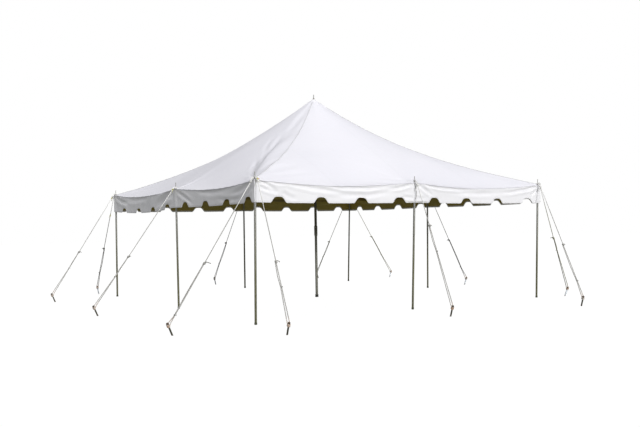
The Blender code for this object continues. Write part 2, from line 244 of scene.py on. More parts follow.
def clothMaterial(name, colour, shade, dust, dustShare, stitches=None, soiled=False, glow=False):
    # coated cloth with its scrim and dust, and where stitches are given, the rows of thread on a sewn strip; where
    # glow is asked for, a faint emission painted on as light coming through the cloth
    material, tree, sockets = newMaterial(name, colour, 0.5)
    clouds = placeGroup(tree, mottle, Scale=0.9, Fine=14.0)
    toned = mixColours(tree, clouds["Clouds"], colour, shade)
    dusty = calculate(tree, "MULTIPLY", clouds["Specks"], dustShare)
    toned = mixColours(tree, dusty, toned, dust)
    if soiled:
        away = addNode(tree, "VectorMath", operation="DISTANCE")
        tree.links.new(objectPlace(tree), away.inputs[0])
        away.inputs[1].default_value = clothLook["soilAt"]
        near = ramp(tree, away.outputs["Value"], clothLook["soilReach"], 0.4 * clothLook["soilReach"])
        soilAndShade = placeGroup(tree, mottle, Scale=14.0, Fine=5.0)
        soilAndShade = calculate(tree, "MULTIPLY_ADD", soilAndShade["Clouds"], 0.75, 0.05)
        toned = mixColours(tree, calculate(tree, "MULTIPLY", near, soilAndShade), toned, clothLook["soil"])
    # painted glow: the cloth gives off a little light of its own
    if glow:
        sockets["Emission Color"].default_value = (*clothLook["glow"], 1.0)
        sockets["Emission Strength"].default_value = 1.0
    threads = placeGroup(tree, weave, Size=clothLook["threadWidth"])
    crumple = placeGroup(tree, mottle, Scale=5.0, Fine=5.0)
    height = calculate(tree, "MULTIPLY_ADD", crumple["Clouds"], 4.0, threads["Height"])
    if stitches:
        rows = placeGroup(tree, stitch, Pitch=0.010)
        toned = mixColours(tree, rows["Thread"], toned, stitches)
        height = calculate(tree, "MULTIPLY_ADD", rows["Thread"], 2.5, height)
        height = calculate(tree, "MULTIPLY_ADD", rows["Twill"], 0.4, height)
    tree.links.new(toned, sockets["Base Color"])
    tree.links.new(ramp(tree, clouds["Specks"], 0.0, 1.0, 0.42, 0.58), sockets["Roughness"])
    addBump(tree, sockets, height, 0.30, 0.0005)
    return material


outerCloth = clothMaterial("outerVinyl", clothLook["outer"], clothLook["outerShade"], clothLook["dust"], 0.06)
# the inside faces' cloth: its dark olive colours are painted shade
innerShadedCloth = clothMaterial(
    "innerVinyl", clothLook["inner"], clothLook["innerGreen"], clothLook["innerDust"], 0.25, glow=True
)
# the valance's cloth, brighter than the roof's: painted light
valancePaintedLightCloth = clothMaterial(
    "valanceVinyl", clothLook["valance"], clothLook["valanceShade"], clothLook["dust"], 0.06
)
hemCloth = clothMaterial(
    "hemVinyl", clothLook["valance"], clothLook["valanceShade"], clothLook["dust"], 0.08, soiled=True
)
patchCloth = clothMaterial("patchVinyl", clothLook["patch"], clothLook["outer"], clothLook["dust"], 0.10)
seamCloth = clothMaterial(
    "seamVinyl", clothLook["outer"], clothLook["outerShade"], clothLook["dust"], 0.12, clothLook["stitch"]
)
panelCloth = clothMaterial(
    "panelVinyl", clothLook["outer"], clothLook["outerShade"], clothLook["dust"], 0.06, clothLook["panelStitch"]
)
joinCloth = clothMaterial(
    "joinVinyl", clothLook["valance"], clothLook["valanceShade"], clothLook["dust"], 0.10, clothLook["stitch"]
)
# the inside webbing, dark olive like the inside faces: painted shade
innerSeamShadedCloth = clothMaterial(
    "innerWebbing",
    clothLook["innerSeam"],
    clothLook["inner"],
    clothLook["innerDust"],
    0.3,
    clothLook["innerStitch"],
)


def threadMaterial():
    # lock stitches along hems and seams
    material, tree, sockets = newMaterial("stitchThread", (0.62, 0.62, 0.64), 0.75)
    specks = placeGroup(tree, mottle, Scale=60.0, Fine=6.0)
    toned = mixColours(tree, specks["Specks"], (0.66, 0.66, 0.68), (0.46, 0.45, 0.44))
    tree.links.new(toned, sockets["Base Color"])
    addBump(tree, sockets, specks["Specks"], 0.5, 0.0004)
    return material


ropeLook = {
    "clean": (0.84, 0.83, 0.81),
    "worn": (0.66, 0.65, 0.61),
    "white": (0.40, 0.39, 0.365),  # painted shade: the tone the white cords turn to below the eave
    # the grey and cream tones are painted shade as well, that the far cords take below the eave, where they stand
    # against the light
    "grey": (0.150, 0.145, 0.130),
    "cream": (0.30, 0.29, 0.20),
    "handledFrom": 1.90,
    "handledTo": 1.60,
    "rust": (0.56, 0.34, 0.20),
    "tie": (0.62, 0.60, 0.20),
    "tieWorn": (0.45, 0.44, 0.16),
}


def ropeMaterial(name, clean, worn, soilAndShade):
    # laid cord, with painted shade that turns it to a darker tone below the eave, and rust-stained where it turns
    # round its stake
    material, tree, sockets = newMaterial(name, clean, 0.82)
    clouds = placeGroup(tree, mottle, Scale=4.0, Fine=90.0)
    spread = calculate(tree, "MULTIPLY", clouds["Specks"], ramp(tree, clouds["Clouds"], 0.0, 1.0, 0.35, 0.9))
    toned = mixColours(tree, spread, clean, worn)
    height = objectHeight(tree)
    # painted shade: a darker tone below the eave, less of it near the ground
    paintedShadeBelowEave = ramp(tree, height, ropeLook["handledFrom"], ropeLook["handledTo"])
    paintedShadeBelowEave = calculate(tree, "MULTIPLY", paintedShadeBelowEave, ramp(tree, height, 0.14, 0.24, 0.35, 1.0))
    toned = mixColours(tree, paintedShadeBelowEave, toned, soilAndShade)
    stain = placeGroup(tree, mottle, Scale=26.0, Fine=4.0)
    low = calculate(tree, "MULTIPLY", ramp(tree, height, 0.26, 0.15), stain["Clouds"])
    tree.links.new(mixColours(tree, low, toned, ropeLook["rust"]), sockets["Base Color"])
    fibres = addNode(tree, "TexNoise", {"Vector": objectPlace(tree), "Scale": 900.0, "Detail": 3.0})
    addBump(tree, sockets, fibres.outputs["Fac"], 0.6, 0.0006)
    return material


steelLook = {
    "bright": (0.50, 0.51, 0.50),
    "dull": (0.36, 0.37, 0.34),
    # painted reflection: the olive-green the side poles turn to near the ground, standing in for green grass
    # reflected in the zinc
    "lower": (0.155, 0.162, 0.085),
    "streak": (0.20, 0.15, 0.10),
    "cap": (0.060, 0.066, 0.030),
    "capHeight": 0.034,
}


def tubeMaterial(name, bright, dull, lower, gradeTop, gradeBottom, cap=None):
    # spangled zinc with painted light by height: between gradeTop and gradeBottom it turns to the lower tone, which
    # on the side poles is a painted reflection of green grass near the ground; with a foot cap of dark plastic
    material, tree, sockets = newMaterial(name, bright, 0.45, 0.35)
    height = objectHeight(tree)
    spangle = addNode(tree, "TexVoronoi", {"Vector": objectPlace(tree), "Scale": 130.0}).outputs["Color"]
    cells = addNode(tree, "SeparateColor", {"Color": spangle}).outputs["Red"]
    clouds = placeGroup(tree, mottle, Scale=7.0, Fine=11.0)
    zinc = mixColours(tree, cells, bright, dull)
    # painted light by height: the tone turns to the lower one between gradeTop and gradeBottom
    paintedLightByHeight = mixColours(tree, ramp(tree, height, gradeTop, gradeBottom), zinc, lower)
    stained = calculate(tree, "MULTIPLY", clouds["Specks"], 0.45)
    toned = mixColours(tree, stained, paintedLightByHeight, steelLook["streak"])
    metal = ramp(tree, clouds["Specks"], 0.0, 1.0, 0.55, 0.25)
    if cap:
        edge = steelLook["capHeight"]
        onCap = ramp(tree, height, edge + 0.001, edge)
        toned = mixColours(tree, onCap, toned, cap)
        metal = calculate(tree, "MULTIPLY", metal, ramp(tree, height, edge, edge + 0.001))
    tree.links.new(toned, sockets["Base Color"])
    tree.links.new(metal, sockets["Metallic"])
    tree.links.new(ramp(tree, clouds["Specks"], 0.0, 1.0, 0.36, 0.64), sockets["Roughness"])
    addBump(tree, sockets, cells, 0.25, 0.0005)
    return material


def plainMaterial(name, colour, other, roughness, metallic=0.0, scale=25.0, bump=0.3):
    # cast, forged or moulded finish: two mottled tones with a grained surface
    material, tree, sockets = newMaterial(name, colour, roughness, metallic)
    clouds = placeGroup(tree, mottle, Scale=scale, Fine=8.0)
    tree.links.new(mixColours(tree, clouds["Clouds"], colour, other), sockets["Base Color"])
    spread = ramp(tree, clouds["Specks"], 0.0, 1.0, roughness - 0.08, roughness + 0.12)
    tree.links.new(spread, sockets["Roughness"])
    addBump(tree, sockets, clouds["Specks"], bump, 0.0008)
    return material


def stakeMaterial(name, shaft, metallic):
    # forged bar, rusty where it is struck, rust-toned in a band at the foot and just under the head, and dark at the
    # head; each copy brings its own shaft colour
    material, tree, sockets = newMaterial(name, shaft, 0.55, metallic)
    height = objectHeight(tree)
    clouds = placeGroup(tree, mottle, Scale=22.0, Fine=6.0)
    rust = mixColours(tree, clouds["Specks"], (0.19, 0.105, 0.05), (0.09, 0.05, 0.03))
    bottomAndNeckBands = calculate(tree, "ADD", ramp(tree, height, 0.045, 0.0), ramp(tree, height, 0.150, 0.165))
    patch = calculate(tree, "MULTIPLY", clouds["Clouds"], calculate(tree, "MINIMUM", bottomAndNeckBands, 1.0))
    spread = calculate(tree, "MAXIMUM", patch, ramp(tree, clouds["Specks"], 0.75, 1.0, 0.0, 0.5))
    head = ramp(tree, height, 0.148, 0.160)
    toned = mixColours(tree, head, shaft, (0.060, 0.060, 0.054))
    tree.links.new(mixColours(tree, spread, toned, rust), sockets["Base Color"])
    tree.links.new(ramp(tree, spread, 0.0, 1.0, metallic, 0.1), sockets["Metallic"])
    tree.links.new(ramp(tree, spread, 0.0, 1.0, 0.40, 0.85), sockets["Roughness"])
    addBump(tree, sockets, clouds["Specks"], 0.5, 0.0010)
    return material


thread = threadMaterial()
ropes = {
    cord: ropeMaterial(cord + "Rope", ropeLook["clean"], ropeLook["worn"], ropeLook[cord])
    for cord in ("white", "grey", "cream")
}
tieCord = ropeMaterial("tieCord", ropeLook["tie"], ropeLook["tieWorn"], ropeLook["tie"])
# the slack cord is laid in the guys' painted-shade tones all along its length
slackCord = ropeMaterial("slackCord", ropeLook["white"], ropeLook["grey"], ropeLook["white"])
zincTube = tubeMaterial(
    "zincTube", steelLook["bright"], steelLook["dull"], steelLook["lower"], 1.8, 0.7, steelLook["cap"]
)
weltCloth = plainMaterial("weltCloth", clothLook["welt"], (0.44, 0.44, 0.44), 0.7, scale=40.0, bump=0.2)
brass = plainMaterial("eyeBrass", (0.50, 0.40, 0.22), (0.33, 0.27, 0.16), 0.38, 0.85, scale=60.0, bump=0.15)
ringPlastic = plainMaterial("ringPlastic", (0.74, 0.30, 0.24), (0.62, 0.24, 0.20), 0.45, scale=50.0, bump=0.2)
print("materials ready")


# Height of the slack lines from the peak to a corner and to a middle pole, 1 at the peak and 0 at the eave
def hipFall(share):
    return (1 - share) * (1 - 0.76 * share + 0.32 * share**2)


def middleFall(share):
    return (1 - share) * (1 - 0.15 * share - 0.70 * share**8)


def bayDip(bay):
    return 4 * abs(bay) * (1 - abs(bay))  # 0 over the poles, 1 halfway between two poles


def toBays(across, pin):
    return (across - pin) / (1 - pin if across > pin else 1 + pin)


def sideOf(x, y):
    if abs(y) >= abs(x):
        return "front" if y < 0 else "back"
    return "right" if x > 0 else "left"


def bayAt(x, y):
    # the side over a place, the share of the way out to its eave, and the place along it in bays
    side = sideOf(x, y)
    outward, along = sides[side][0], alongs[side]
    reach = max(outward.x * x + outward.y * y, 1e-6)
    bay = toBays((along.x * x + along.y * y) / reach, pinShares[side])
    return side, min(reach / tent["eaveHalf"], 1.0), bay


def roofHeight(x, y):
    _, share, bay = bayAt(x, y)
    low, high = tent["ridgeRounding"], math.hypot(1, tent["ridgeRounding"])
    part = (math.hypot(bay, tent["ridgeRounding"]) - low) / (high - low)
    fall = middleFall(share) * (1 - part) + hipFall(share) * part
    rise = tent["peakHeight"] - tent["eaveHeight"]
    return tent["eaveHeight"] + rise * fall - tent["eaveSag"] * share**4 * bayDip(bay)


def smooth(value):
    value = min(max(value, 0.0), 1.0)
    return value * value * (3 - 2 * value)


# Where the slack cloth rolls over beside the near hip: plan places from the corner up, how high the roll
# stands and how far its gentle front, its steep back and the hollow behind it reach
hipTuck = {
    "places": (
        (-2.86, -2.78), (-2.61, -2.40), (-2.29, -1.95), (-2.03, -1.65), (-1.85, -1.48), (-1.69, -1.34),
        (-1.54, -1.22), (-1.38, -1.10), (-1.13, -0.96), (-0.72, -0.70),
    ),
    "height": 0.052,
    "front": 0.19,
    "back": 0.10,
    "hollow": 0.40,
}

# Creases in the roof: plan places from end to end, width across and depth; a minus depth is a ridge
roofCreases = {
    "hipStreakA": (((-2.50, -2.12), (-2.02, -1.52), (-1.63, -1.10), (-1.27, -0.78), (-1.00, -0.55)), 0.036, 0.013),
    "hipStreakB": (((-2.05, -1.46), (-1.80, -1.16), (-1.50, -0.86)), 0.032, 0.011),
    "hipStreakC": (((-1.75, -1.05), (-1.50, -0.74), (-1.20, -0.52)), 0.036, 0.009),
    "hipUpper": (((-1.05, -0.72), (-0.62, -0.42), (-0.24, -0.16)), 0.060, 0.010),
    "leftFanA": (((-2.86, -2.62), (-2.20, -1.55), (-1.92, -1.10)), 0.036, 0.010),
    "leftFanB": (((-2.90, -2.66), (-2.67, -2.29), (-2.46, -1.62)), 0.034, 0.009),
    "leftFanC": (((-2.70, -2.30), (-2.30, -1.60), (-1.90, -1.16)), 0.034, 0.007),
    "frontFanA": (((-2.60, -2.44), (-2.12, -2.05), (-1.70, -1.86)), 0.055, 0.009),
    "frontFanB": (((-2.72, -2.72), (-2.16, -2.38), (-1.62, -2.20)), 0.060, 0.010),
    "frontFanC": (((-2.70, -2.84), (-2.10, -2.62), (-1.50, -2.52)), 0.050, 0.007),
    "peakA": (((-0.03, -0.05), (-0.05, -0.30)), 0.030, 0.007),
    "peakB": (((0.02, -0.05), (0.10, -0.36)), 0.032, 0.008),
    "peakC": (((0.05, -0.04), (0.24, -0.26)), 0.030, 0.007),
    "peakD": (((-0.05, -0.04), (-0.22, -0.15)), 0.030, 0.006),
    "rightCorner": (((2.80, -2.90), (2.10, -2.30)), 0.070, 0.010),
    "rightCornerB": (((2.86, -2.70), (2.40, -1.70)), 0.060, 0.012),
    "backLeftA": (((-2.86, 2.80), (-2.20, 2.05)), 0.070, 0.012),
    "backLeftB": (((-2.86, 2.60), (-2.50, 1.70)), 0.060, 0.012),
    "backRightA": (((2.84, 2.74), (2.10, 2.00)), 0.070, 0.012),
    "middlePinL": (((-2.90, -0.20), (-2.30, -0.55)), 0.050, 0.006),
    "middlePinF": (((-0.10, -2.88), (-0.55, -2.70)), 0.050, 0.007),
}

# Creases in the valance of each side: places along it and heights, width and depth
valanceCreases = {
    "front": (
        (((-3.00, 2.092), (-2.86, 2.048), (-2.74, 1.985), (-2.62, 1.925)), 0.027, 0.026),
        (((-2.99, 2.016), (-2.87, 1.972), (-2.72, 1.932), (-2.60, 1.915)), 0.025, 0.020),
        (((-2.98, 2.105), (-2.63, 2.060), (-2.46, 2.065), (-2.30, 2.022), (-2.16, 1.990)), 0.024, 0.012),
        (((-2.36, 2.060), (-2.06, 2.000), (-1.73, 1.960), (-1.36, 1.935)), 0.032, 0.016),
        (((-1.80, 2.050), (-1.44, 2.005), (-0.95, 1.995), (-0.48, 2.045)), 0.027, 0.016),
        (((-2.57, 1.930), (-2.45, 1.860), (-2.27, 1.815)), 0.028, 0.009),
        (((-1.60, 1.895), (-1.00, 1.885), (-0.40, 1.960)), 0.034, 0.010),
        (((0.05, 2.081), (0.22, 1.983), (0.40, 1.884)), 0.026, 0.020),
        (((0.12, 2.095), (0.54, 2.025), (1.05, 2.000), (1.60, 2.000)), 0.023, 0.016),
        (((-0.06, 2.080), (-0.34, 2.015), (-0.60, 1.990)), 0.024, 0.014),
        (((0.90, 1.955), (1.48, 1.935), (2.20, 1.960)), 0.034, 0.011),
        (((2.98, 2.085), (2.70, 2.020), (2.30, 1.965), (1.90, 1.950)), 0.026, 0.016),
        (((2.98, 2.020), (2.86, 1.950), (2.80, 1.870)), 0.024, 0.012),
        (((-0.30, 1.870), (0.00, 1.845), (0.30, 1.850)), 0.024, 0.008),
    ),
    "left": (
        (((0.10, 2.070), (-0.30, 1.980), (-0.90, 1.800)), 0.060, 0.028),
        (((0.20, 2.060), (0.56, 1.935), (0.90, 1.800)), 0.030, 0.010),
        (((2.98, 2.080), (2.60, 1.975), (2.20, 1.905)), 0.034, 0.012),
        (((2.98, 2.010), (2.86, 1.940), (2.80, 1.830)), 0.030, 0.010),
        (((-2.98, 2.070), (-2.60, 1.960), (-2.20, 1.915)), 0.034, 0.010),
        (((1.00, 2.020), (1.60, 1.985), (2.30, 2.010)), 0.040, 0.009),
        (((2.60, 1.850), (2.10, 1.830), (1.70, 1.870)), 0.030, 0.008),
        (((-1.20, 2.000), (-1.90, 1.975), (-2.50, 2.000)), 0.042, 0.008),
    ),
    "right": (
        (((-2.98, 2.080), (-2.60, 1.980), (-2.10, 1.930)), 0.032, 0.013),
        (((0.03, 2.070), (-0.42, 1.970), (-1.05, 1.930)), 0.034, 0.014),
        (((0.13, 2.070), (0.48, 1.980), (1.05, 1.930)), 0.034, 0.014),
        (((2.98, 2.080), (2.50, 1.990), (2.00, 1.940)), 0.032, 0.013),
        (((-2.00, 2.010), (-1.40, 1.970), (-0.80, 2.010)), 0.036, 0.009),
    ),
    "back": (
        (((-2.98, 2.080), (-2.55, 1.990), (-2.00, 1.930)), 0.032, 0.013),
        (((-0.05, 2.070), (-0.40, 1.980), (-1.00, 1.920)), 0.034, 0.014),
        (((0.05, 2.070), (0.50, 1.960), (1.10, 1.930)), 0.034, 0.013),
        (((2.98, 2.080), (2.60, 1.970), (2.20, 1.930)), 0.032, 0.013),
        (((0.90, 2.000), (1.50, 1.960), (2.20, 2.000)), 0.036, 0.009),
    ),
}


def creaseDip(places, width, depth, u, v):
    # a valley along a broken line, with a low swell on either side, fading at both ends
    reachOut = 3.2 * width
    if not (
        min(p[0] for p in places) - reachOut < u < max(p[0] for p in places) + reachOut
        and min(p[1] for p in places) - reachOut < v < max(p[1] for p in places) + reachOut
    ):
        return 0.0
    nearest, along = 1e9, 0.0
    total = len(places) - 1
    for number, (start, end) in enumerate(zip(places, places[1:])):
        du, dv = end[0] - start[0], end[1] - start[1]
        part = ((u - start[0]) * du + (v - start[1]) * dv) / (du * du + dv * dv)
        part = min(max(part, 0.0), 1.0)
        off = math.hypot(u - start[0] - du * part, v - start[1] - dv * part)
        if off < nearest:
            nearest, along = off, (number + part) / total
    across = nearest / width
    if across > 3.2:
        return 0.0
    fade = smooth(along * 5) * smooth((1 - along) * 2.2)
    valley = math.exp(-(across**2))
    swell = 0.38 * math.exp(-((across - 1.9) ** 2))
    return depth * fade * (valley - swell)


def tuckLift(x, y):
    # a roll of cloth: gentle on the front side, steep behind, then a long hollow
    places = hipTuck["places"]
    if x > 0.2 or y > 0.6:
        return 0.0
    nearest, along, behind = 1e9, 0.0, 1.0
    total = len(places) - 1
    for number, (start, end) in enumerate(zip(places, places[1:])):
        dx, dy = end[0] - start[0], end[1] - start[1]
        part = ((x - start[0]) * dx + (y - start[1]) * dy) / (dx * dx + dy * dy)
        part = min(max(part, 0.0), 1.0)
        offX, offY = x - start[0] - dx * part, y - start[1] - dy * part
        off = math.hypot(offX, offY)
        if off < nearest:
            nearest, along = off, (number + part) / total
            behind = math.copysign(1.0, dx * offY - dy * offX)
    lift = math.exp(-((nearest / hipTuck["front"]) ** 2))
    if behind > 0:
        lift = 1.4 * math.exp(-((nearest / hipTuck["back"]) ** 2))
        lift -= 0.4 * math.exp(-((nearest / hipTuck["hollow"]) ** 2))
    return hipTuck["height"] * lift * smooth(along * 4) * smooth((1 - along) * 2.5)


folds = {
    "poleFan": 0.006,  # ridges that run in from each pin
    "poleFanReach": 0.55,
    "peakFan": 0.005,
    "peakFanReach": 0.45,
    "billow": 0.010,  # slow swell of the slack cloth
    "billowSize": 1.1,
    "ripple": 0.0016,  # gathered edge
    "rippleLength": 0.21,
    "quietRound": 0.075,  # flat round a pin, where the patch and the rope's loop lie
    "hipCalm": 0.10,  # the taut strip along each hip seam
}


def quietNearPins(x, y):
    quiet = 1.0
    for east, north in pins.values():
        away = math.hypot(x - east * tent["pinHalf"], y - north * tent["pinHalf"])
        quiet = min(quiet, smooth(away / folds["quietRound"] - 0.6))
    return quiet


def roofFolds(x, y):
    centre = math.hypot(x, y)
    turn = math.atan2(y, x)
    lift = 0.0
    for number, (east, north) in enumerate(pins.values()):
        dx, dy = x - east * tent["pinHalf"], y - north * tent["pinHalf"]
        away = math.hypot(dx, dy)
        if away < 3 * folds["poleFanReach"]:
            angle = math.atan2(dy, dx)
            wave = math.cos(9 * angle + 1.7 * number) + 0.6 * math.cos(17 * angle + 2.9 * number)
            lift += folds["poleFan"] * wave * math.exp(-away / folds["poleFanReach"]) * smooth(away / 0.25)
    wave = math.cos(12 * turn + 0.6) + 0.7 * math.cos(19 * turn + 2.0)
    lift += folds["peakFan"] * wave * math.exp(-centre / folds["peakFanReach"]) * smooth(centre / 0.12)
    size = folds["billowSize"]
    lift += folds["billow"] * noise.noise(Vector((x / size, y / size, 3.7)))
    lift += 0.35 * folds["billow"] * noise.noise(Vector((x * 2.6 / size, y * 2.6 / size, 9.1)))
    reach = max(abs(x), abs(y))
    along = y if abs(x) > abs(y) else x
    edge = smooth(1 - (tent["eaveHalf"] - reach) / 0.35)
    lift += folds["ripple"] * edge * math.sin(along * math.tau / folds["rippleLength"] + 2 * math.sin(along * 1.9))
    lift *= 0.3 + 0.7 * smooth(abs(abs(x) - abs(y)) / folds["hipCalm"])
    lift += tuckLift(x, y)
    for places, width, depth in roofCreases.values():
        lift -= creaseDip(places, width, depth, x, y)
    return lift * quietNearPins(x, y) * smooth(centre / 0.05)


def roofPoint(x, y, above=0.0):
    side, share, bay = bayAt(x, y)
    bow = sides[side][0] * (tent["eaveBow"] * bayDip(bay) * share**6)
    return Vector((x - bow.x, y - bow.y, roofHeight(x, y) + roofFolds(x, y) + above))


def finishPiece(name, shape, materials, smoothAngle=40):
    mesh = bpy.data.meshes.new(name)
    shape.to_mesh(mesh)
    shape.free()
    for material in materials:
        mesh.materials.append(material)
    mesh.shade_smooth()
    mesh.set_sharp_from_angle(angle=math.radians(smoothAngle))
    piece = bpy.data.objects.new(name, mesh)
    scene.collection.objects.link(piece)
    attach(piece, "root")
    return piece


def giveThickness(piece, thickness, innerMaterial=0):
    wall = piece.modifiers.new("wall", "SOLIDIFY")
    wall.thickness = thickness
    wall.offset = -1.0
    wall.material_offset = innerMaterial
    return wall


def joinParts(parts):
    # several shapes made one
    whole = bmesh.new()
    for part in parts:
        mesh = bpy.data.meshes.new("part")
        part.to_mesh(mesh)
        part.free()
        whole.from_mesh(mesh)
        bpy.data.meshes.remove(mesh)
    return whole


# One sheet over all four sides, its edge folded down over the valance
roofMake = {
    "segments": 216,
    "crowding": 0.32,  # grid lines lie closer at the peak and the eaves
    "cloth": 0.0016,
    "fold": ((0.0018, -0.0016), (0.0028, -0.0052), (0.0028, -0.016)),  # out and down past the edge
}


def gridPlace(part):
    return tent["eaveHalf"] * (part - roofMake["crowding"] * math.sin(math.tau * part) / math.tau)


def buildRoof():
    shape = bmesh.new()
    count = roofMake["segments"]
    bmesh.ops.create_grid(shape, x_segments=count, y_segments=count, size=1)
    for face in list(shape.faces):
        ends = [point for point in face.verts if abs(abs(point.co.x) - abs(point.co.y)) < 0.1 / count]
        if len(ends) == 2:
            bmesh.utils.face_split(face, *ends)  # the hips run from corner to corner of their faces
    for point in shape.verts:
        point.co = roofPoint(gridPlace(point.co.x), gridPlace(point.co.y))
    middle = min(shape.verts, key=lambda point: point.co.xy.length)
    bmesh.ops.delete(shape, geom=[middle], context="VERTS")
    rim = [edge for edge in shape.edges if edge.is_boundary and edge.verts[0].co.xy.length > 1]
    start = (0.0, 0.0)
    for out, down in roofMake["fold"]:
        made = bmesh.ops.extrude_edge_only(shape, edges=rim)["geom"]
        for point in made:
            if isinstance(point, bmesh.types.BMVert):
                for place, axis in ((point.co.x, 0), (point.co.y, 1)):
                    if abs(place) > tent["eaveHalf"] - 0.045:
                        point.co[axis] += math.copysign(out - start[0], place)
                point.co.z += down - start[1]
        rim = [edge for edge in made if isinstance(edge, bmesh.types.BMEdge)]
        start = (out, down)
    bmesh.ops.recalc_face_normals(shape, faces=shape.faces)
    if sum(face.normal.z for face in shape.faces) < 0:
        bmesh.ops.reverse_faces(shape, faces=shape.faces)
    roof = finishPiece("canopyRoof", shape, (outerCloth, innerShadedCloth), 50)
    giveThickness(roof, roofMake["cloth"], 1)
    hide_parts("roof_front", "roof_right", "roof_back", "roof_left")
    return roof


roof = buildRoof()
print("roof made:", len(roof.data.polygons), "faces")


# Strips sewn along the roof's seams; each has its own map, in metres along and -1 to 1 across
seamMake = {
    "hipWidth": 0.042,
    "panelWidth": 0.026,
    "panel": 1.524,  # a cloth panel's width
    "relief": 0.0014,
    "skin": 0.0004,  # edges lie this far above the cloth
    "underside": -0.0022,
    "hipStep": 0.022,
    "panelStep": 0.034,
    "weltWidth": 0.007,  # a grey cord let into each hip seam, its grey painted shade for the dark line along the hips
    "weltHeight": 0.008,
}


def stripOver(start, end, width, step, above, relief, surface=roofPoint):
    # a low band over a surface, along a line between two places
    start, end = Vector(start), Vector(end)
    run = end - start
    across = Vector((-run.y, run.x)).normalized() * (width / 2)
    part = bmesh.new()
    stripMap = part.loops.layers.uv.new("strip")
    steps = max(4, round(run.length / step))
    bmesh.ops.create_grid(part, x_segments=steps, y_segments=6, size=1)
    spots = {point: (point.co.x, point.co.y) for point in part.verts}
    for point, (along, side) in spots.items():
        place = start + run * ((along + 1) / 2) + across * side
        point.co = surface(place.x, place.y, above + relief * (1 - abs(side) ** 6))
    for face in part.faces:
        for corner in face.loops:
            along, side = spots[corner.vert]
            corner[stripMap].uv = ((along + 1) / 2 * run.length, side)
    bmesh.ops.recalc_face_normals(part, faces=part.faces)
    upward = sum(face.normal.z for face in part.faces) > 0
    if upward != (relief > 0):
        bmesh.ops.reverse_faces(part, faces=part.faces)
    return part


def buildSeams():
    half = tent["eaveHalf"]
    hips, panels = [], []
    for east in (-1, 1):
        for north in (-1, 1):
            ends = ((0.085 * east, 0.085 * north), ((half - 0.008) * east, (half - 0.008) * north))
            hips.append((ends, seamMake["hipWidth"], seamMake["hipStep"]))
    for side, (outward, _) in sides.items():
        for across in (-seamMake["panel"], 0.0, seamMake["panel"]):
            near = outward * max(abs(across) + 0.03, 0.13) + alongs[side] * across
            far = outward * (half - 0.008) + alongs[side] * across
            panels.append((((near.x, near.y), (far.x, far.y)), seamMake["panelWidth"], seamMake["panelStep"]))
    rise = seamMake["skin"] + seamMake["relief"] - 0.0006
    welts = [stripOver(*ends, seamMake["weltWidth"], step, rise, seamMake["weltHeight"]) for ends, _, step in hips]
    finishPiece("hipWelts", joinParts(welts), (weltCloth,), 60)
    for name, lines, cloth in (("hipSeams", hips, seamCloth), ("panelSeams", panels, panelCloth)):
        for place, material, above, relief in (
            ("", cloth, seamMake["skin"], seamMake["relief"]),
            ("Inside", innerSeamShadedCloth, seamMake["underside"] - seamMake["skin"], -seamMake["relief"]),
        ):
            parts = [stripOver(*ends, width, step, above, relief) for ends, width, step in lines]
            finishPiece(name + place, joinParts(parts), (material,), 60)


buildSeams()
print("roof seams sewn")


# One scalloped strip round all four sides
valanceMake = {
    "drop": 0.337,
    "sag": 0.012,
    "leftSlack": 0.045,  # the left side's back bay hangs lower
    "scallops": 8,
    "notchHeight": 0.090,
    "notchWidth": 0.290,
    "columns": {"front": 520, "right": 280, "back": 280, "left": 400},
    "rows": 30,
    "crowding": 0.35,  # columns lie closer at the poles
    "inset": 0.0008,  # behind the roof's folded edge
    "cloth": 0.0014,
    "swing": 0.011,
    "hemWidth": 0.026,
}


def scallopLift(place, shift):
    pitch = 2 * tent["eaveHalf"] / valanceMake["scallops"]
    part = ((place - shift + tent["eaveHalf"]) % pitch - pitch / 2) / (valanceMake["notchWidth"] / 2)
    return valanceMake["notchHeight"] * (1 + math.cos(math.pi * part**2)) / 2 if abs(part) < 1 else 0.0


def valanceBay(side, place):
    return toBays(place / tent["eaveHalf"], pinShares[side])


def valanceBottom(side, place):
    dip = bayDip(valanceBay(side, place))
    extra = valanceMake["leftSlack"] * dip if side == "left" and place < 0 else 0.0
    flat = tent["eaveHeight"] - valanceMake["drop"] - valanceMake["sag"] * dip - extra
    return flat + scallopLift(place, sides[side][1])


edgeHeights = {}


def valanceTop(side, place):
    # just under the roof's edge, which is worked out once for each place
    key = (side, round(place, 4))
    if key not in edgeHeights:
        edge = sides[side][0] * tent["eaveHalf"] + alongs[side] * place * 0.99999
        edgeHeights[key] = roofPoint(edge.x, edge.y).z - 0.0012
    return edgeHeights[key]


def valancePoint(side, place, height, outside=0.0):
    outward, half = sides[side][0], tent["eaveHalf"]
    down = valanceTop(side, place) - height
    number = list(sides).index(side)
    hang = smooth(down / 0.25)
    swing = valanceMake["swing"] * hang * noise.noise(Vector((place * 1.7, down * 1.5, 5.3 * number)))
    swing += 0.45 * valanceMake["swing"] * hang * noise.noise(Vector((place * 6.0, down * 3.0, 2.1 * number)))
    swing += valanceMake["swing"] * 0.3 * hang * math.sin(place * math.tau / 0.762 + number)
    for places, width, depth in valanceCreases[side]:
        swing -= creaseDip(places, width, depth, place, height)
    swing *= min(smooth((half - abs(place)) / 0.06), smooth(down / 0.035))
    nearPole = smooth(1.6 - min(abs(place - pinShares[side] * half), half - abs(place)) / 0.06)
    swing += (max(swing, -0.0005) - swing) * nearPole  # a pole stands right behind
    bow = tent["eaveBow"] * bayDip(valanceBay(side, place))
    out = half + valanceMake["inset"] - bow + swing + outside
    reach = half + valanceMake["inset"] + outside
    return alongs[side] * max(min(place, reach), -reach) + outward * out + up * height


def valancePlace(part):
    # columns crowd where the cloth is pulled: at the corners and the middle pole
    return tent["eaveHalf"] * (part - valanceMake["crowding"] * math.sin(math.tau * part) / math.tau)


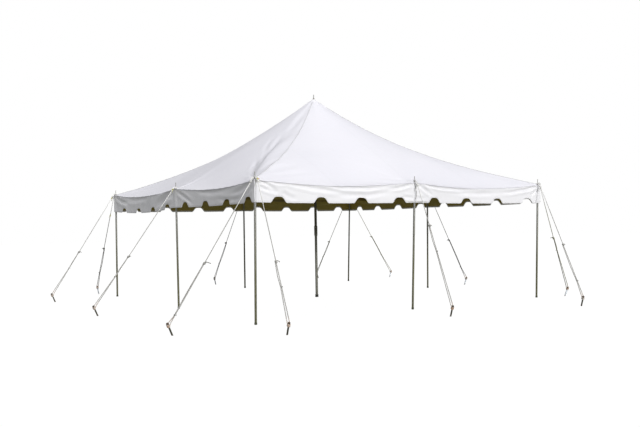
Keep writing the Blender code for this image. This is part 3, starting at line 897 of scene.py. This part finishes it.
def buildValance():
    parts = []
    for side in sides:
        part = bmesh.new()
        columns, rows = valanceMake["columns"][side], valanceMake["rows"]
        bmesh.ops.create_grid(part, x_segments=columns, y_segments=rows, size=1)
        for point in part.verts:
            place = valancePlace(point.co.x)
            top, bottom = valanceTop(side, place), valanceBottom(side, place)
            point.co = valancePoint(side, place, bottom + (top - bottom) * (point.co.y + 1) / 2)
        parts.append(part)
    whole = joinParts(parts)
    bmesh.ops.remove_doubles(whole, verts=whole.verts, dist=0.0005)
    bmesh.ops.recalc_face_normals(whole, faces=whole.faces)
    face = max(whole.faces, key=lambda face: -face.calc_center_median().y)
    if face.normal.y > 0:
        bmesh.ops.reverse_faces(whole, faces=whole.faces)
    valance = finishPiece("canopyValance", whole, (valancePaintedLightCloth, innerShadedCloth), 50)
    giveThickness(valance, valanceMake["cloth"], 1)
    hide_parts(*[f"valance_{side}" for side in sides])
    return valance


def buildHem():
    # a folded binding along the scallops, sewn on both faces
    parts = []
    steps = ((1.0, 0.0009), (0.0, 0.0011), (-0.08, 0.0002), (-0.08, -0.0016), (0.0, -0.0025), (1.0, -0.0023))
    for side in sides:
        part = bmesh.new()
        columns = valanceMake["columns"][side]
        bmesh.ops.create_grid(part, x_segments=columns, y_segments=len(steps) - 1, size=1)
        for point in part.verts:
            place = valancePlace(point.co.x)
            share, outside = steps[round((point.co.y + 1) / 2 * (len(steps) - 1))]
            height = valanceBottom(side, place) + share * valanceMake["hemWidth"]
            point.co = valancePoint(side, place, height, outside)
        parts.append(part)
    whole = joinParts(parts)
    bmesh.ops.remove_doubles(whole, verts=whole.verts, dist=0.0002)
    bmesh.ops.recalc_face_normals(whole, faces=whole.faces)
    return finishPiece("valanceHem", whole, (hemCloth,), 60)


valance = buildValance()
hem = buildHem()
print("valance made:", len(valance.data.polygons), "faces")


# Lock stitches, each a short length of thread that stands on the cloth
stitchMake = {
    "pitch": 0.012,
    "length": 0.0075,
    "width": 0.0013,
    "hemRow": 0.021,  # above the hem's lower edge
    "eaveRows": (0.022, 0.034),  # below the roof's edge
    "lift": 0.0014,
}


def stitchRow(shape, places, outward):
    # thread along a line of places; outward says which way the cloth faces at each
    left = 0.0
    for start, end, facing in zip(places, places[1:], outward):
        run = end - start
        while left <= run.length:
            along = run.normalized()
            out = (facing - along * facing.dot(along)).normalized()
            turn = Matrix((along, out.cross(along), out)).transposed().to_4x4()
            size = Matrix.Diagonal((stitchMake["length"], stitchMake["width"], stitchMake["width"], 1.0))
            spot = Matrix.Translation(start.lerp(end, left / run.length))
            bmesh.ops.create_cube(shape, size=1, matrix=spot @ turn @ size)
            left += stitchMake["pitch"]
        left -= run.length


def buildValanceStitches():
    shape = bmesh.new()
    columns = [valancePlace(2 * number / 480 - 1) for number in range(1, 480)]
    for side, (outward, _) in sides.items():
        facing = [outward] * len(columns)
        rise = stitchMake["hemRow"]
        row = [valancePoint(side, p, valanceBottom(side, p) + rise, stitchMake["lift"]) for p in columns]
        stitchRow(shape, row, facing)
        for fall in stitchMake["eaveRows"]:
            row = [valancePoint(side, p, valanceTop(side, p) - fall, 0.0004) for p in columns]
            stitchRow(shape, row, facing)
    return finishPiece("valanceStitches", shape, (thread,), 30)


# Vertical joins in the valance: places along each side, in shares of half a side
joinMake = {
    "places": (-0.976, 0.0, 0.976),
    "width": 0.016,
    "wander": 0.004,
    "rows": 40,
}


def buildValanceJoins():
    parts = []
    for side in sides:
        for share in joinMake["places"]:
            centre = (pinShares[side] if share == 0 else share) * tent["eaveHalf"]
            part = bmesh.new()
            stripMap = part.loops.layers.uv.new("strip")
            bmesh.ops.create_grid(part, x_segments=4, y_segments=joinMake["rows"], size=1)
            spots = {point: (point.co.x, point.co.y) for point in part.verts}
            for point, (across, rise) in spots.items():
                place = centre + across * joinMake["width"] / 2
                top = valanceTop(side, centre) - 0.016
                bottom = valanceBottom(side, centre) + valanceMake["hemWidth"] + 0.001
                height = bottom + (top - bottom) * (rise + 1) / 2
                place += joinMake["wander"] * math.sin(height * 31 + share) * smooth((top - height) / 0.06)
                point.co = valancePoint(side, place, height, 0.0003 + 0.0009 * (1 - across**4))
            for face in part.faces:
                for corner in face.loops:
                    across, rise = spots[corner.vert]
                    corner[stripMap].uv = ((rise + 1) / 2 * 0.3, across)
            bmesh.ops.recalc_face_normals(part, faces=part.faces)
            if sum(face.normal.dot(sides[side][0]) for face in part.faces) < 0:
                bmesh.ops.reverse_faces(part, faces=part.faces)
            parts.append(part)
    return finishPiece("valanceJoins", joinParts(parts), (joinCloth,), 60)


webbingMake = {
    "falls": (0.006, 0.056),  # its edges, below the roof's
    "rows": 9,
    "behind": 0.0050,
}


def buildEaveWebbing():
    # the woven strap sewn inside, which carries the pull from pin to pin
    parts = []
    high, low = webbingMake["falls"]
    for side in sides:
        part = bmesh.new()
        stripMap = part.loops.layers.uv.new("strip")
        columns, rows = valanceMake["columns"][side], webbingMake["rows"]
        bmesh.ops.create_grid(part, x_segments=columns, y_segments=rows, size=1)
        spots = {point: (point.co.x, point.co.y) for point in part.verts}
        for point, (across, rise) in spots.items():
            place = valancePlace(across) * 0.998
            height = valanceTop(side, place) - high - (low - high) * (1 - rise) / 2
            point.co = valancePoint(side, place, height, -webbingMake["behind"] + 0.001 * rise**8)
        for face in part.faces:
            for corner in face.loops:
                across, rise = spots[corner.vert]
                corner[stripMap].uv = (across * tent["eaveHalf"], rise)
        bmesh.ops.recalc_face_normals(part, faces=part.faces)
        if sum(face.normal.dot(sides[side][0]) for face in part.faces) > 0:
            bmesh.ops.reverse_faces(part, faces=part.faces)
        parts.append(part)
    return finishPiece("eaveWebbing", joinParts(parts), (innerSeamShadedCloth,), 60)


buildValanceStitches()
buildValanceJoins()
buildEaveWebbing()
print("valance sewn")


# Doubled cloth and brass eyes where the pins come through
patchMake = {
    "size": 0.170,
    "cells": 14,
    "above": 0.0006,
    "relief": 0.0012,
    "stitchInset": 0.010,
    "crownHalf": 0.110,
    "crownHole": 0.0105,
    "eyeOuter": 0.0215,
    "eyeInner": 0.0092,
    "eyeHeight": 0.0016,
}


def patchOver(low, high, cells):
    part = bmesh.new()
    bmesh.ops.create_grid(part, x_segments=cells, y_segments=cells, size=1)
    for point in part.verts:
        along, side = point.co.x, point.co.y
        x = low[0] + (high[0] - low[0]) * (along + 1) / 2
        y = low[1] + (high[1] - low[1]) * (side + 1) / 2
        lift = patchMake["above"] + patchMake["relief"] * (1 - max(abs(along), abs(side)) ** 14)
        point.co = roofPoint(x, y, lift)
    return part


def eyeAt(x, y, above, outer, inner, height):
    # a rolled eye, turned about the upright and then tilted to the cloth
    part = bmesh.new()
    profile = ((inner, 0.0), (inner, 0.8 * height), (inner + 0.0012, height), ((outer + inner) / 2, 0.8 * height),
               (outer - 0.0014, 0.75 * height), (outer, 0.3 * height), (outer, -0.0006))
    points = [part.verts.new((radius, 0, rise)) for radius, rise in profile]
    edges = [part.edges.new(pair) for pair in zip(points, points[1:])]
    whole = {"cent": (0, 0, 0), "axis": (0, 0, 1), "angle": math.tau, "use_merge": True}
    bmesh.ops.spin(part, geom=points + edges, steps=28, **whole)
    slope = up
    if math.hypot(x, y) > 0.1:
        step = 0.02
        fallX = roofHeight(x - step, y) - roofHeight(x + step, y)
        fallY = roofHeight(x, y - step) - roofHeight(x, y + step)
        slope = Vector((fallX, fallY, 2 * step))
    turn = up.rotation_difference(slope.normalized()).to_matrix().to_4x4()
    place = Vector((x, y, roofHeight(x, y) + above))
    bmesh.ops.transform(part, matrix=Matrix.Translation(place) @ turn, verts=part.verts)
    bmesh.ops.recalc_face_normals(part, faces=part.faces)
    return part


def patchCorners(pin):
    # the plan box of a pin's patch: in from the eave, and to either side of a middle pole
    box = []
    for share in pin:
        centre, size, edge = share * tent["pinHalf"], patchMake["size"], tent["eaveHalf"] - 0.0015
        if abs(share) == 1:
            box.append((edge - size, edge) if share > 0 else (-edge, size - edge))
        else:
            box.append((centre - size / 2, centre + size / 2))
    return [(box[0][0], box[1][0]), (box[0][1], box[1][1])]


def buildPatches():
    parts, eyes, stitches = [], [], bmesh.new()
    for pin in pins.values():
        low, high = patchCorners(pin)
        parts.append(patchOver(low, high, patchMake["cells"]))
        x, y = (share * tent["pinHalf"] for share in pin)
        above = patchMake["above"] + patchMake["relief"]
        eyes.append(eyeAt(x, y, above, patchMake["eyeOuter"], patchMake["eyeInner"], patchMake["eyeHeight"]))
        inset = patchMake["stitchInset"]
        x0, y0, x1, y1 = low[0] + inset, low[1] + inset, high[0] - inset, high[1] - inset
        ring = ((x0, y0), (x1, y0), (x1, y1), (x0, y1), (x0, y0))
        for start, end in zip(ring, ring[1:]):
            run = [Vector(start).lerp(Vector(end), step / 10) for step in range(11)]
            row = [roofPoint(place.x, place.y, above + 0.0003) for place in run]
            stitchRow(stitches, row, [up] * len(row))
    whole = joinParts(parts)
    bmesh.ops.recalc_face_normals(whole, faces=whole.faces)
    if sum(face.normal.z for face in whole.faces) < 0:
        bmesh.ops.reverse_faces(whole, faces=whole.faces)
    finishPiece("pinPatches", whole, (patchCloth,), 60)
    finishPiece("patchStitches", stitches, (thread,), 30)
    finishPiece("pinEyes", joinParts(eyes), (brass,), 35)


def buildCrown():
    # the doubled cloth round the peak's hole, with its own eye
    half, hole = patchMake["crownHalf"], patchMake["crownHole"]
    shape = bmesh.new()
    rings = []
    for share in (0.0, 0.06, 0.16, 0.30, 0.48, 0.66, 0.84, 0.95, 1.0):
        ring = []
        for turn in range(64):
            angle = math.tau * turn / 64
            square = half / max(abs(math.cos(angle)), abs(math.sin(angle)))
            reach = hole + (min(square, half * 1.28) - hole) * share
            x, y = reach * math.cos(angle), reach * math.sin(angle)
            ring.append(shape.verts.new(roofPoint(x, y, patchMake["above"] + 0.0016 * (1 - share**10))))
        rings.append(ring)
        for number, point in enumerate(ring):
            shape.edges.new((point, ring[(number + 1) % len(ring)]))
    for inner, outer in zip(rings, rings[1:]):
        around = {edge for point in inner + outer for edge in point.link_edges if len(edge.link_faces) < 2}
        loops = [edge for edge in around if set(edge.verts) <= set(inner) or set(edge.verts) <= set(outer)]
        bmesh.ops.bridge_loops(shape, edges=loops)
    bmesh.ops.recalc_face_normals(shape, faces=shape.faces)
    if sum(face.normal.z for face in shape.faces) < 0:
        bmesh.ops.reverse_faces(shape, faces=shape.faces)
    crown = finishPiece("crownPatch", shape, (patchCloth,), 50)
    giveThickness(crown, 0.0012)
    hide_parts("peak_patch")
    eye = eyeAt(0.0, 0.0, 0.0004, 0.024, 0.0095, 0.003)
    finishPiece("crownEye", eye, (brass,), 35)


buildPatches()
buildCrown()
print("patches and eyes set")


# Each guy: its pole, how many loops lie under its own on the pin, its stake on the ground, where its two
# knots sit between eave and stake, its tail at the upper knot (how far out, and how much it droops) and
# its cord
guys = {
    "front_left_a": ("front_left", 0, (-4.41, -3.23), 0.60, 0.93, (0.105, 0.1), "white"),
    "front_left_b": ("front_left", 1, (-3.21, -4.17), 0.60, 0.76, (0.050, 0.4), "white"),
    "front_middle": ("front_middle", 0, (-0.26, -4.10), 0.37, 0.57, (0.035, 0.6), "white"),
    "front_right_a": ("front_right", 0, (2.36, -4.46), 0.56, 0.86, (0.035, 0.5), "white"),
    "front_right_b": ("front_right", 1, (3.57, -3.15), 0.52, 0.63, (0.060, 0.2), "cream"),
    "right_middle": ("right_middle", 0, (4.15, 0.14), 0.55, 0.86, (0.040, 0.5), "grey"),
    "back_right_a": ("back_right", 0, (4.56, 3.39), 0.52, 0.76, (0.040, 0.6), "cream"),
    "back_right_b": ("back_right", 1, (3.02, 4.52), 0.58, 0.78, (0.050, 0.5), "cream"),
    "back_middle": ("back_middle", 0, (-0.04, 4.47), 0.55, 0.80, (0.040, 0.6), "grey"),
    "back_left_a": ("back_left", 0, (-3.13, 3.89), 0.57, 0.83, (0.040, 0.6), "grey"),
    "back_left_b": ("back_left", 1, (-4.37, 2.70), 0.59, 0.74, (0.050, 0.5), "white"),
    "left_middle": ("left_middle", 0, (-4.47, -0.28), 0.59, 0.75, (0.040, 0.3), "white"),
}

rope = {
    "radius": 0.0070,
    "clearance": 0.0008,
    "seat": 0.0014,  # a loop lies on the pin's eye
    "lay": 0.042,  # length of one twist of the three strands
    "step": 0.0075,
    "strandDepth": 0.14,  # groove between strands, as a share of the radius
    "hitchAt": 0.075,
    "hitchTurns": 2,
    "knotTurns": 3,
    "stakeTurns": 2,
    "stakeLoopAt": 0.150,
    "stakeRadius": 0.0125,
    "stakeLean": 24.0,  # degrees
}


def evenPoints(route, step, passes):
    # the route again with points at even steps, its corners eased
    places = [Vector(route[0])]
    left = step
    for start, end in zip(route, route[1:]):
        run = (end - start).length
        while left <= run:
            places.append(start.lerp(end, left / run))
            left += step
        left -= run
    for _ in range(passes):
        eased = [(a + 2 * b + c) / 4 for a, b, c in zip(places, places[1:], places[2:])]
        places = [places[0], *eased, places[-1]]
    return places


def strandSection(radius, lobes):
    # three strands seen end on, or a plain round cord
    line = bpy.data.curves.new("strandSection", "CURVE")
    line.dimensions = "2D"
    run = line.splines.new("POLY")
    count = 12 if lobes else 8
    run.points.add(count - 1)
    for number, point in enumerate(run.points):
        turn = math.tau * number / count
        groove = rope["strandDepth"] * (0.5 - 0.5 * math.cos(3 * turn)) if lobes else 0.0
        point.co = (radius * (1 - groove) * math.cos(turn), radius * (1 - groove) * math.sin(turn), 0, 1)
    run.use_cyclic_u = True
    section = bpy.data.objects.new("strandSection", line)
    scene.collection.objects.link(section)
    return section


def layRope(name, routes, section, material):
    line = bpy.data.curves.new(name, "CURVE")
    line.dimensions = "3D"
    line.bevel_mode = "OBJECT"
    line.bevel_object = section
    line.use_fill_caps = True
    line.twist_mode = "MINIMUM"
    for route in routes:
        run = line.splines.new("POLY")
        run.points.add(len(route) - 1)
        for number, (point, place) in enumerate(zip(run.points, route)):
            point.co = (*place, 1.0)
            point.tilt = (math.tau * rope["step"] * number / rope["lay"]) % math.tau
    holder = bpy.data.objects.new(name + "Line", line)
    scene.collection.objects.link(holder)
    bpy.context.view_layer.update()
    mesh = bpy.data.meshes.new_from_object(holder.evaluated_get(bpy.context.evaluated_depsgraph_get()))
    bpy.data.objects.remove(holder)
    shape = bmesh.new()
    shape.from_mesh(mesh)
    bpy.data.meshes.remove(mesh)
    bmesh.ops.recalc_face_normals(shape, faces=shape.faces)
    return finishPiece(name, shape, (material,), 70)


def helix(centre, axis, toward, radius, turns, rise, start=0.0):
    # a coil about an axis, from the side that toward points to
    side = axis.cross(toward).normalized()
    toward = side.cross(axis).normalized()
    count = max(8, int(abs(turns) * 16))
    places = []
    for step in range(count + 1):
        angle = start + math.tau * turns * step / count
        lift = rise * step / count
        places.append(centre + axis * lift + (toward * math.cos(angle) + side * math.sin(angle)) * radius)
    return places


def guyFrame(pole, loopsBelow, spot):
    # where a guy's loop, its top over the eave and its turn on the stake lie
    east, north = pins[pole]
    x, y = east * tent["pinHalf"], north * tent["pinHalf"]
    wide = 2 * rope["radius"] + rope["clearance"]
    reach = tent["pinRadius"] + wide
    rim = [(x + reach * math.cos(a * math.pi / 12), y + reach * math.sin(a * math.pi / 12)) for a in range(24)]
    rim = [place for place in rim if max(abs(place[0]), abs(place[1])) <= tent["eaveHalf"]]
    height = max(roofHeight(*place) for place in rim) + rope["radius"] + rope["clearance"] + rope["seat"]
    pin = Vector((x, y, height + loopsBelow * wide))
    ground = Vector((*spot, 0))
    out = Vector((spot[0] - x, spot[1] - y, 0)).normalized()
    side = up.cross(out)
    turn = tent["pinRadius"] + rope["radius"] + rope["clearance"] + 0.0004
    overEave = tent["eaveHalf"] - tent["pinHalf"] + rope["radius"] + 0.012
    top = pin + side * turn + out * overEave - up * 0.010
    lean = math.radians(rope["stakeLean"])
    axis = out * math.sin(lean) + up * math.cos(lean)
    held = ground + axis * rope["stakeLoopAt"]
    return pin, out, side, turn, overEave, top, axis, held


def guyRoute(pole, loopsBelow, spot, knotShare, lowerShare, tailMake):
    pin, out, side, turn, overEave, top, axis, held = guyFrame(pole, loopsBelow, spot)
    wide = 2 * rope["radius"] + rope["clearance"]
    radius = rope["stakeRadius"] + rope["radius"] + rope["clearance"]
    foot = held + side * radius
    down = (foot - top).normalized()
    length = (foot - top).length
    across = side.cross(down).normalized()

    # tail, hitch round the line, back up to the pin, half a turn round it and over the eave
    hitch = top + down * rope["hitchAt"]
    tip = hitch + down * 0.02 - side * 0.040 - up * (0.030 + 0.05 * tailMake[1]) + across * 0.015
    route = [tip, hitch + down * 0.012 - side * 0.018 + across * 0.004]
    route += helix(hitch + down * 0.008, -down, -side, wide, rope["hitchTurns"], 0.026)
    route.append(pin - side * turn + out * overEave - up * 0.004)
    for step in range(13):
        angle = math.radians(180 - 15 * step)
        route.append(pin + side * (turn * math.cos(angle)) - out * (turn * math.sin(angle)))
    route.append(pin + side * turn + out * (overEave * 0.7) - up * 0.001)
    route.append(top)

    # down to the stake, two and a half turns round it, and back up beside itself
    route.append(foot - down * 0.04)
    turns = rope["stakeTurns"]
    for step in range(16 * turns + 9):
        angle = math.radians(22.5 * step)
        rise = axis * (wide * (step / 16 - turns + 0.6))
        route.append(held + rise + side * (radius * math.cos(angle)) + side.cross(axis) * (radius * math.sin(angle)))
    knot = top + down * (length * knotShare)
    lower = top + down * (length * lowerShare)
    route.append(lower - side * wide + down * 0.03)
    route += helix(lower + down * 0.012, -down, -side, wide, 1.0, 0.014)
    route.append(lower - side * (wide * 1.6) - down * (0.4 * length * (lowerShare - knotShare)))
    route.append(knot - side * wide + down * 0.03)
    route += helix(knot + down * 0.018, -down, -side, wide, rope["knotTurns"], 0.036)
    reach, droop = tailMake
    start = knot - down * 0.022 + side * wide
    for part in (0.0, 0.4, 0.75, 1.0):
        route.append(start + side * (reach * part) - up * (reach * droop * part**2) + across * (0.15 * reach * part))
    return evenPoints(route, rope["step"], 2)


section = strandSection(rope["radius"], True)
for name, (pole, loopsBelow, spot, knotShare, lowerShare, tailMake, cord) in guys.items():
    words = "".join(word.capitalize() for word in name.split("_"))
    route = guyRoute(pole, loopsBelow, spot, knotShare, lowerShare, tailMake)
    piece = layRope("guyRope" + words, [route], section, ropes[cord])
    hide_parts("guy_" + name)
bpy.data.objects.remove(section)
print("guy ropes laid:", len(guys))


# Odds and ends tied on at the pins
tieMake = {
    "radius": 0.0028,
    "places": {"left_middle": 0.004, "back_left_a": 0.20, "back_left_b": 0.03, "front_left_b": 0.004},
    "turns": 6,
    "ringRadius": 0.017,
    "ringTube": 0.0042,
    "ringSpot": (-2.972, -3.030),
}


def buildTies():
    # a thin yellow cord whipped round a few of the guys
    section = strandSection(tieMake["radius"], False)
    routes = []
    for name, share in tieMake["places"].items():
        pole, loopsBelow, spot = guys[name if name in guys else name + "_a"][:3]
        pin, out, side, turn, overEave, top, axis, held = guyFrame(pole, loopsBelow, spot)
        foot = held + side * (rope["stakeRadius"] + rope["radius"] + rope["clearance"])
        down = (foot - top).normalized()
        start = top + down * (share * (foot - top).length + 0.012)
        coil = helix(start, down, side, rope["radius"] + tieMake["radius"] + 0.0003, tieMake["turns"], 0.034)
        end = coil[-1]
        coil += [end + side * 0.008 - up * 0.004, end + side * 0.014 - up * 0.020, end + side * 0.012 - up * 0.038]
        routes.append(evenPoints(coil, 0.004, 1))
    layRope("guyTies", routes, section, tieCord)
    bpy.data.objects.remove(section)


def buildRing():
    # a moulded ring left on the near corner
    shape = bmesh.new()
    made = bmesh.ops.create_circle(shape, segments=10, radius=tieMake["ringTube"])
    turn = Matrix.Rotation(math.pi / 2, 4, "X")
    bmesh.ops.transform(shape, matrix=Matrix.Translation((tieMake["ringRadius"], 0, 0)) @ turn, verts=made["verts"])
    bmesh.ops.spin(shape, geom=shape.verts[:] + shape.edges[:], cent=(0, 0, 0), axis=(0, 0, 1), angle=math.tau,
                   steps=28, use_merge=True)
    bmesh.ops.remove_doubles(shape, verts=shape.verts, dist=1e-5)
    x, y = tieMake["ringSpot"]
    place = roofPoint(x, y, tieMake["ringTube"] + 0.0006)
    slope = Vector((-0.05, -0.10, 1)).normalized()
    turn = up.rotation_difference(slope).to_matrix().to_4x4()
    bmesh.ops.transform(shape, matrix=Matrix.Translation(place) @ turn, verts=shape.verts)
    bmesh.ops.recalc_face_normals(shape, faces=shape.faces)
    finishPiece("cornerRing", shape, (ringPlastic,), 60)


# A slack end that curls beside the front middle pin and hangs down the valance: places along it, heights
slackMake = {
    "radius": 0.0034,
    "curl": ((0.004, 2.150), (-0.018, 2.132), (-0.040, 2.128), (-0.058, 2.140), (-0.064, 2.156)),
    "hang": ((-0.030, 2.090), (-0.020, 2.030), (-0.006, 1.985), (0.012, 1.930), (0.000, 1.870), (-0.022, 1.815)),
}


def buildSlackCord():
    section = strandSection(slackMake["radius"], False)
    front = -tent["eaveHalf"]
    curl = [Vector((place, front - 0.006, height)) for place, height in slackMake["curl"]]
    hang = [valancePoint("front", place, height, slackMake["radius"] + 0.001) for place, height in slackMake["hang"]]
    layRope("slackCord", [evenPoints(curl, 0.008, 2), evenPoints(hang, 0.012, 2)], section, slackCord)
    bpy.data.objects.remove(section)


buildTies()
buildRing()
buildSlackCord()


# Spring buttons that lock the centre pole's two tubes in their sleeve
buttonMake = {
    "radius": 0.0050,
    "height": 0.0042,
    "fromEnd": 0.032,
    "weldTube": 0.0020,
}


def buildSleeveDetails():
    shape = bmesh.new()
    for height in (tent["sleeveBottom"] + buttonMake["fromEnd"], tent["sleeveTop"] - buttonMake["fromEnd"]):
        part = bmesh.new()
        radius, rise = buttonMake["radius"], buttonMake["height"]
        profile = ((radius * 1.5, 0.0), (radius * 1.5, 0.0008), (radius, 0.0010), (radius, rise * 0.6),
                   (radius * 0.7, rise * 0.92), (0.0, rise))
        points = [part.verts.new((reach, 0, up)) for reach, up in profile]
        edges = [part.edges.new(pair) for pair in zip(points, points[1:])]
        bmesh.ops.spin(part, geom=points + edges, cent=(0, 0, 0), axis=(0, 0, 1), angle=math.tau, steps=16,
                       use_merge=True)
        bmesh.ops.remove_doubles(part, verts=part.verts, dist=1e-5)
        turn = Vector((0, 0, 1)).rotation_difference(Vector((-0.55, -0.83, 0))).to_matrix().to_4x4()
        place = Vector((-0.55, -0.83, 0)).normalized() * (tent["sleeveRadius"] - 0.0003) + Vector((0, 0, height))
        bmesh.ops.transform(part, matrix=Matrix.Translation(place) @ turn, verts=part.verts)
        mesh = bpy.data.meshes.new("part")
        part.to_mesh(mesh)
        part.free()
        shape.from_mesh(mesh)
        bpy.data.meshes.remove(mesh)
    bmesh.ops.recalc_face_normals(shape, faces=shape.faces)
    finishPiece("sleeveButtons", shape, (buttonSteel,), 50)


buttonSteel = plainMaterial("buttonSteel", (0.52, 0.52, 0.50), (0.36, 0.36, 0.34), 0.35, 0.8, scale=80.0, bump=0.1)
buildSleeveDetails()


# Finishes of the solids that show as they are
capRubber = plainMaterial("capRubber", (0.022, 0.024, 0.018), (0.040, 0.040, 0.030), 0.62, scale=40.0)
# the same forged stakes in two copies: the dark shaft is painted shade, and the bright bluish shaft is a painted
# reflection of the sky; the tuple below lists the stakes that take the bright one
darkStake = stakeMaterial("darkStake", (0.105, 0.105, 0.075), 0.45)
brightStake = stakeMaterial("brightStake", (0.52, 0.56, 0.60), 0.55)
skyLitStakes = ("back_left_a", "back_middle", "right_middle", "front_right_b", "back_right_a")
# painted shade: the centre pole is dark olive from about the sleeve up, where the roof shades it, and lighter below
centreTube = tubeMaterial("centreTube", (0.15, 0.15, 0.105), (0.10, 0.10, 0.07), (0.27, 0.28, 0.24), 1.36, 1.22)
peakPin = tubeMaterial("peakPin", (0.42, 0.43, 0.43), (0.30, 0.31, 0.30), (0.30, 0.30, 0.28), 3.0, 2.0)
for name, node in nodes.items():
    if name.startswith("pole_"):
        look = zincTube
    elif name == "centre_pole_foot":
        look = capRubber
    elif name == "centre_pole_pin":
        look = peakPin
    elif name.startswith("centre_pole_"):
        look = centreTube
    elif name.startswith("stake_"):
        look = brightStake if name.removeprefix("stake_") in skyLitStakes else darkStake
    else:
        continue
    node.material_slots[0].material = look


studio = {
    "keyDirection": (-0.05, -0.95, 0.31),
    "keyStrength": 2.15,
    "keyAngle": 12.0,
    "topStrength": 1.30,
    "topAngle": 30.0,
    "sky": (0.95, 0.965, 1.0),
    "skyStrength": 0.43,
    "floorSeen": (0.98, 0.98, 0.98),
    "floorBounce": (0.205, 0.21, 0.195),
}


def addSun(name, direction, strength, angle):
    lamp = bpy.data.lights.new(name, "SUN")
    lamp.energy = strength
    lamp.angle = math.radians(angle)
    sun = bpy.data.objects.new(name, lamp)
    sun.rotation_mode = "QUATERNION"
    sun.rotation_quaternion = Vector(direction).to_track_quat("Z", "Y")
    scene.collection.objects.link(sun)


def buildStudio():
    shape = bmesh.new()
    bmesh.ops.create_grid(shape, x_segments=2, y_segments=2, size=60)
    mesh = bpy.data.meshes.new("studioFloor")
    shape.to_mesh(mesh)
    shape.free()
    floor = bpy.data.objects.new("studioFloor", mesh)
    scene.collection.objects.link(floor)
    material, tree, sockets = newMaterial("paleFloor", studio["floorSeen"], 0.9)
    seen = addNode(tree, "LightPath").outputs["Is Camera Ray"]
    tree.links.new(mixColours(tree, seen, studio["floorBounce"], (0.0, 0.0, 0.0)), sockets["Base Color"])
    tree.links.new(mixColours(tree, seen, (0.0, 0.0, 0.0), studio["floorSeen"]), sockets["Emission Color"])
    sockets["Emission Strength"].default_value = 1.0
    mesh.materials.append(material)

    world = bpy.data.worlds.new("studioSky")
    world.use_nodes = True
    scene.world = world
    tree = world.node_tree
    seen = addNode(tree, "LightPath").outputs["Is Camera Ray"]
    back = tree.nodes["Background"]
    tree.links.new(mixColours(tree, seen, studio["sky"], (1.0, 1.0, 1.0)), back.inputs["Color"])
    tree.links.new(ramp(tree, seen, 0.0, 1.0, studio["skyStrength"], 1.0), back.inputs["Strength"])
    addSun("key", studio["keyDirection"], studio["keyStrength"], studio["keyAngle"])
    addSun("overhead", (0, 0, 1), studio["topStrength"], studio["topAngle"])


camera = {
    "place": (-8.423, -12.839, 1.434),
    "yaw": 56.401,  # degrees from +X
    "pitch": 0.818,
    "roll": -0.946,
    "focalPixels": 772.8,
    "imageWidth": 640,
}


def buildCamera():
    yaw, pitch, roll = (math.radians(camera[word]) for word in ("yaw", "pitch", "roll"))
    ahead = Vector((math.cos(yaw) * math.cos(pitch), math.sin(yaw) * math.cos(pitch), math.sin(pitch)))
    level = ahead.cross(Vector((0, 0, 1))).normalized()
    up = level.cross(ahead)
    right = level * math.cos(roll) + up * math.sin(roll)
    up = up * math.cos(roll) - level * math.sin(roll)
    lens = bpy.data.cameras.new("photoCamera")
    lens.sensor_width = 36.0
    lens.lens = 36.0 * camera["focalPixels"] / camera["imageWidth"]
    eye = bpy.data.objects.new("photoCamera", lens)
    turned = Matrix((right, up, -ahead)).transposed().to_4x4()
    eye.matrix_world = Matrix.Translation(camera["place"]) @ turned
    scene.collection.objects.link(eye)
    scene.camera = eye


buildStudio()
buildCamera()
scene.view_settings.view_transform = "Standard"
scene.view_settings.look = "None"

print("studio ready")
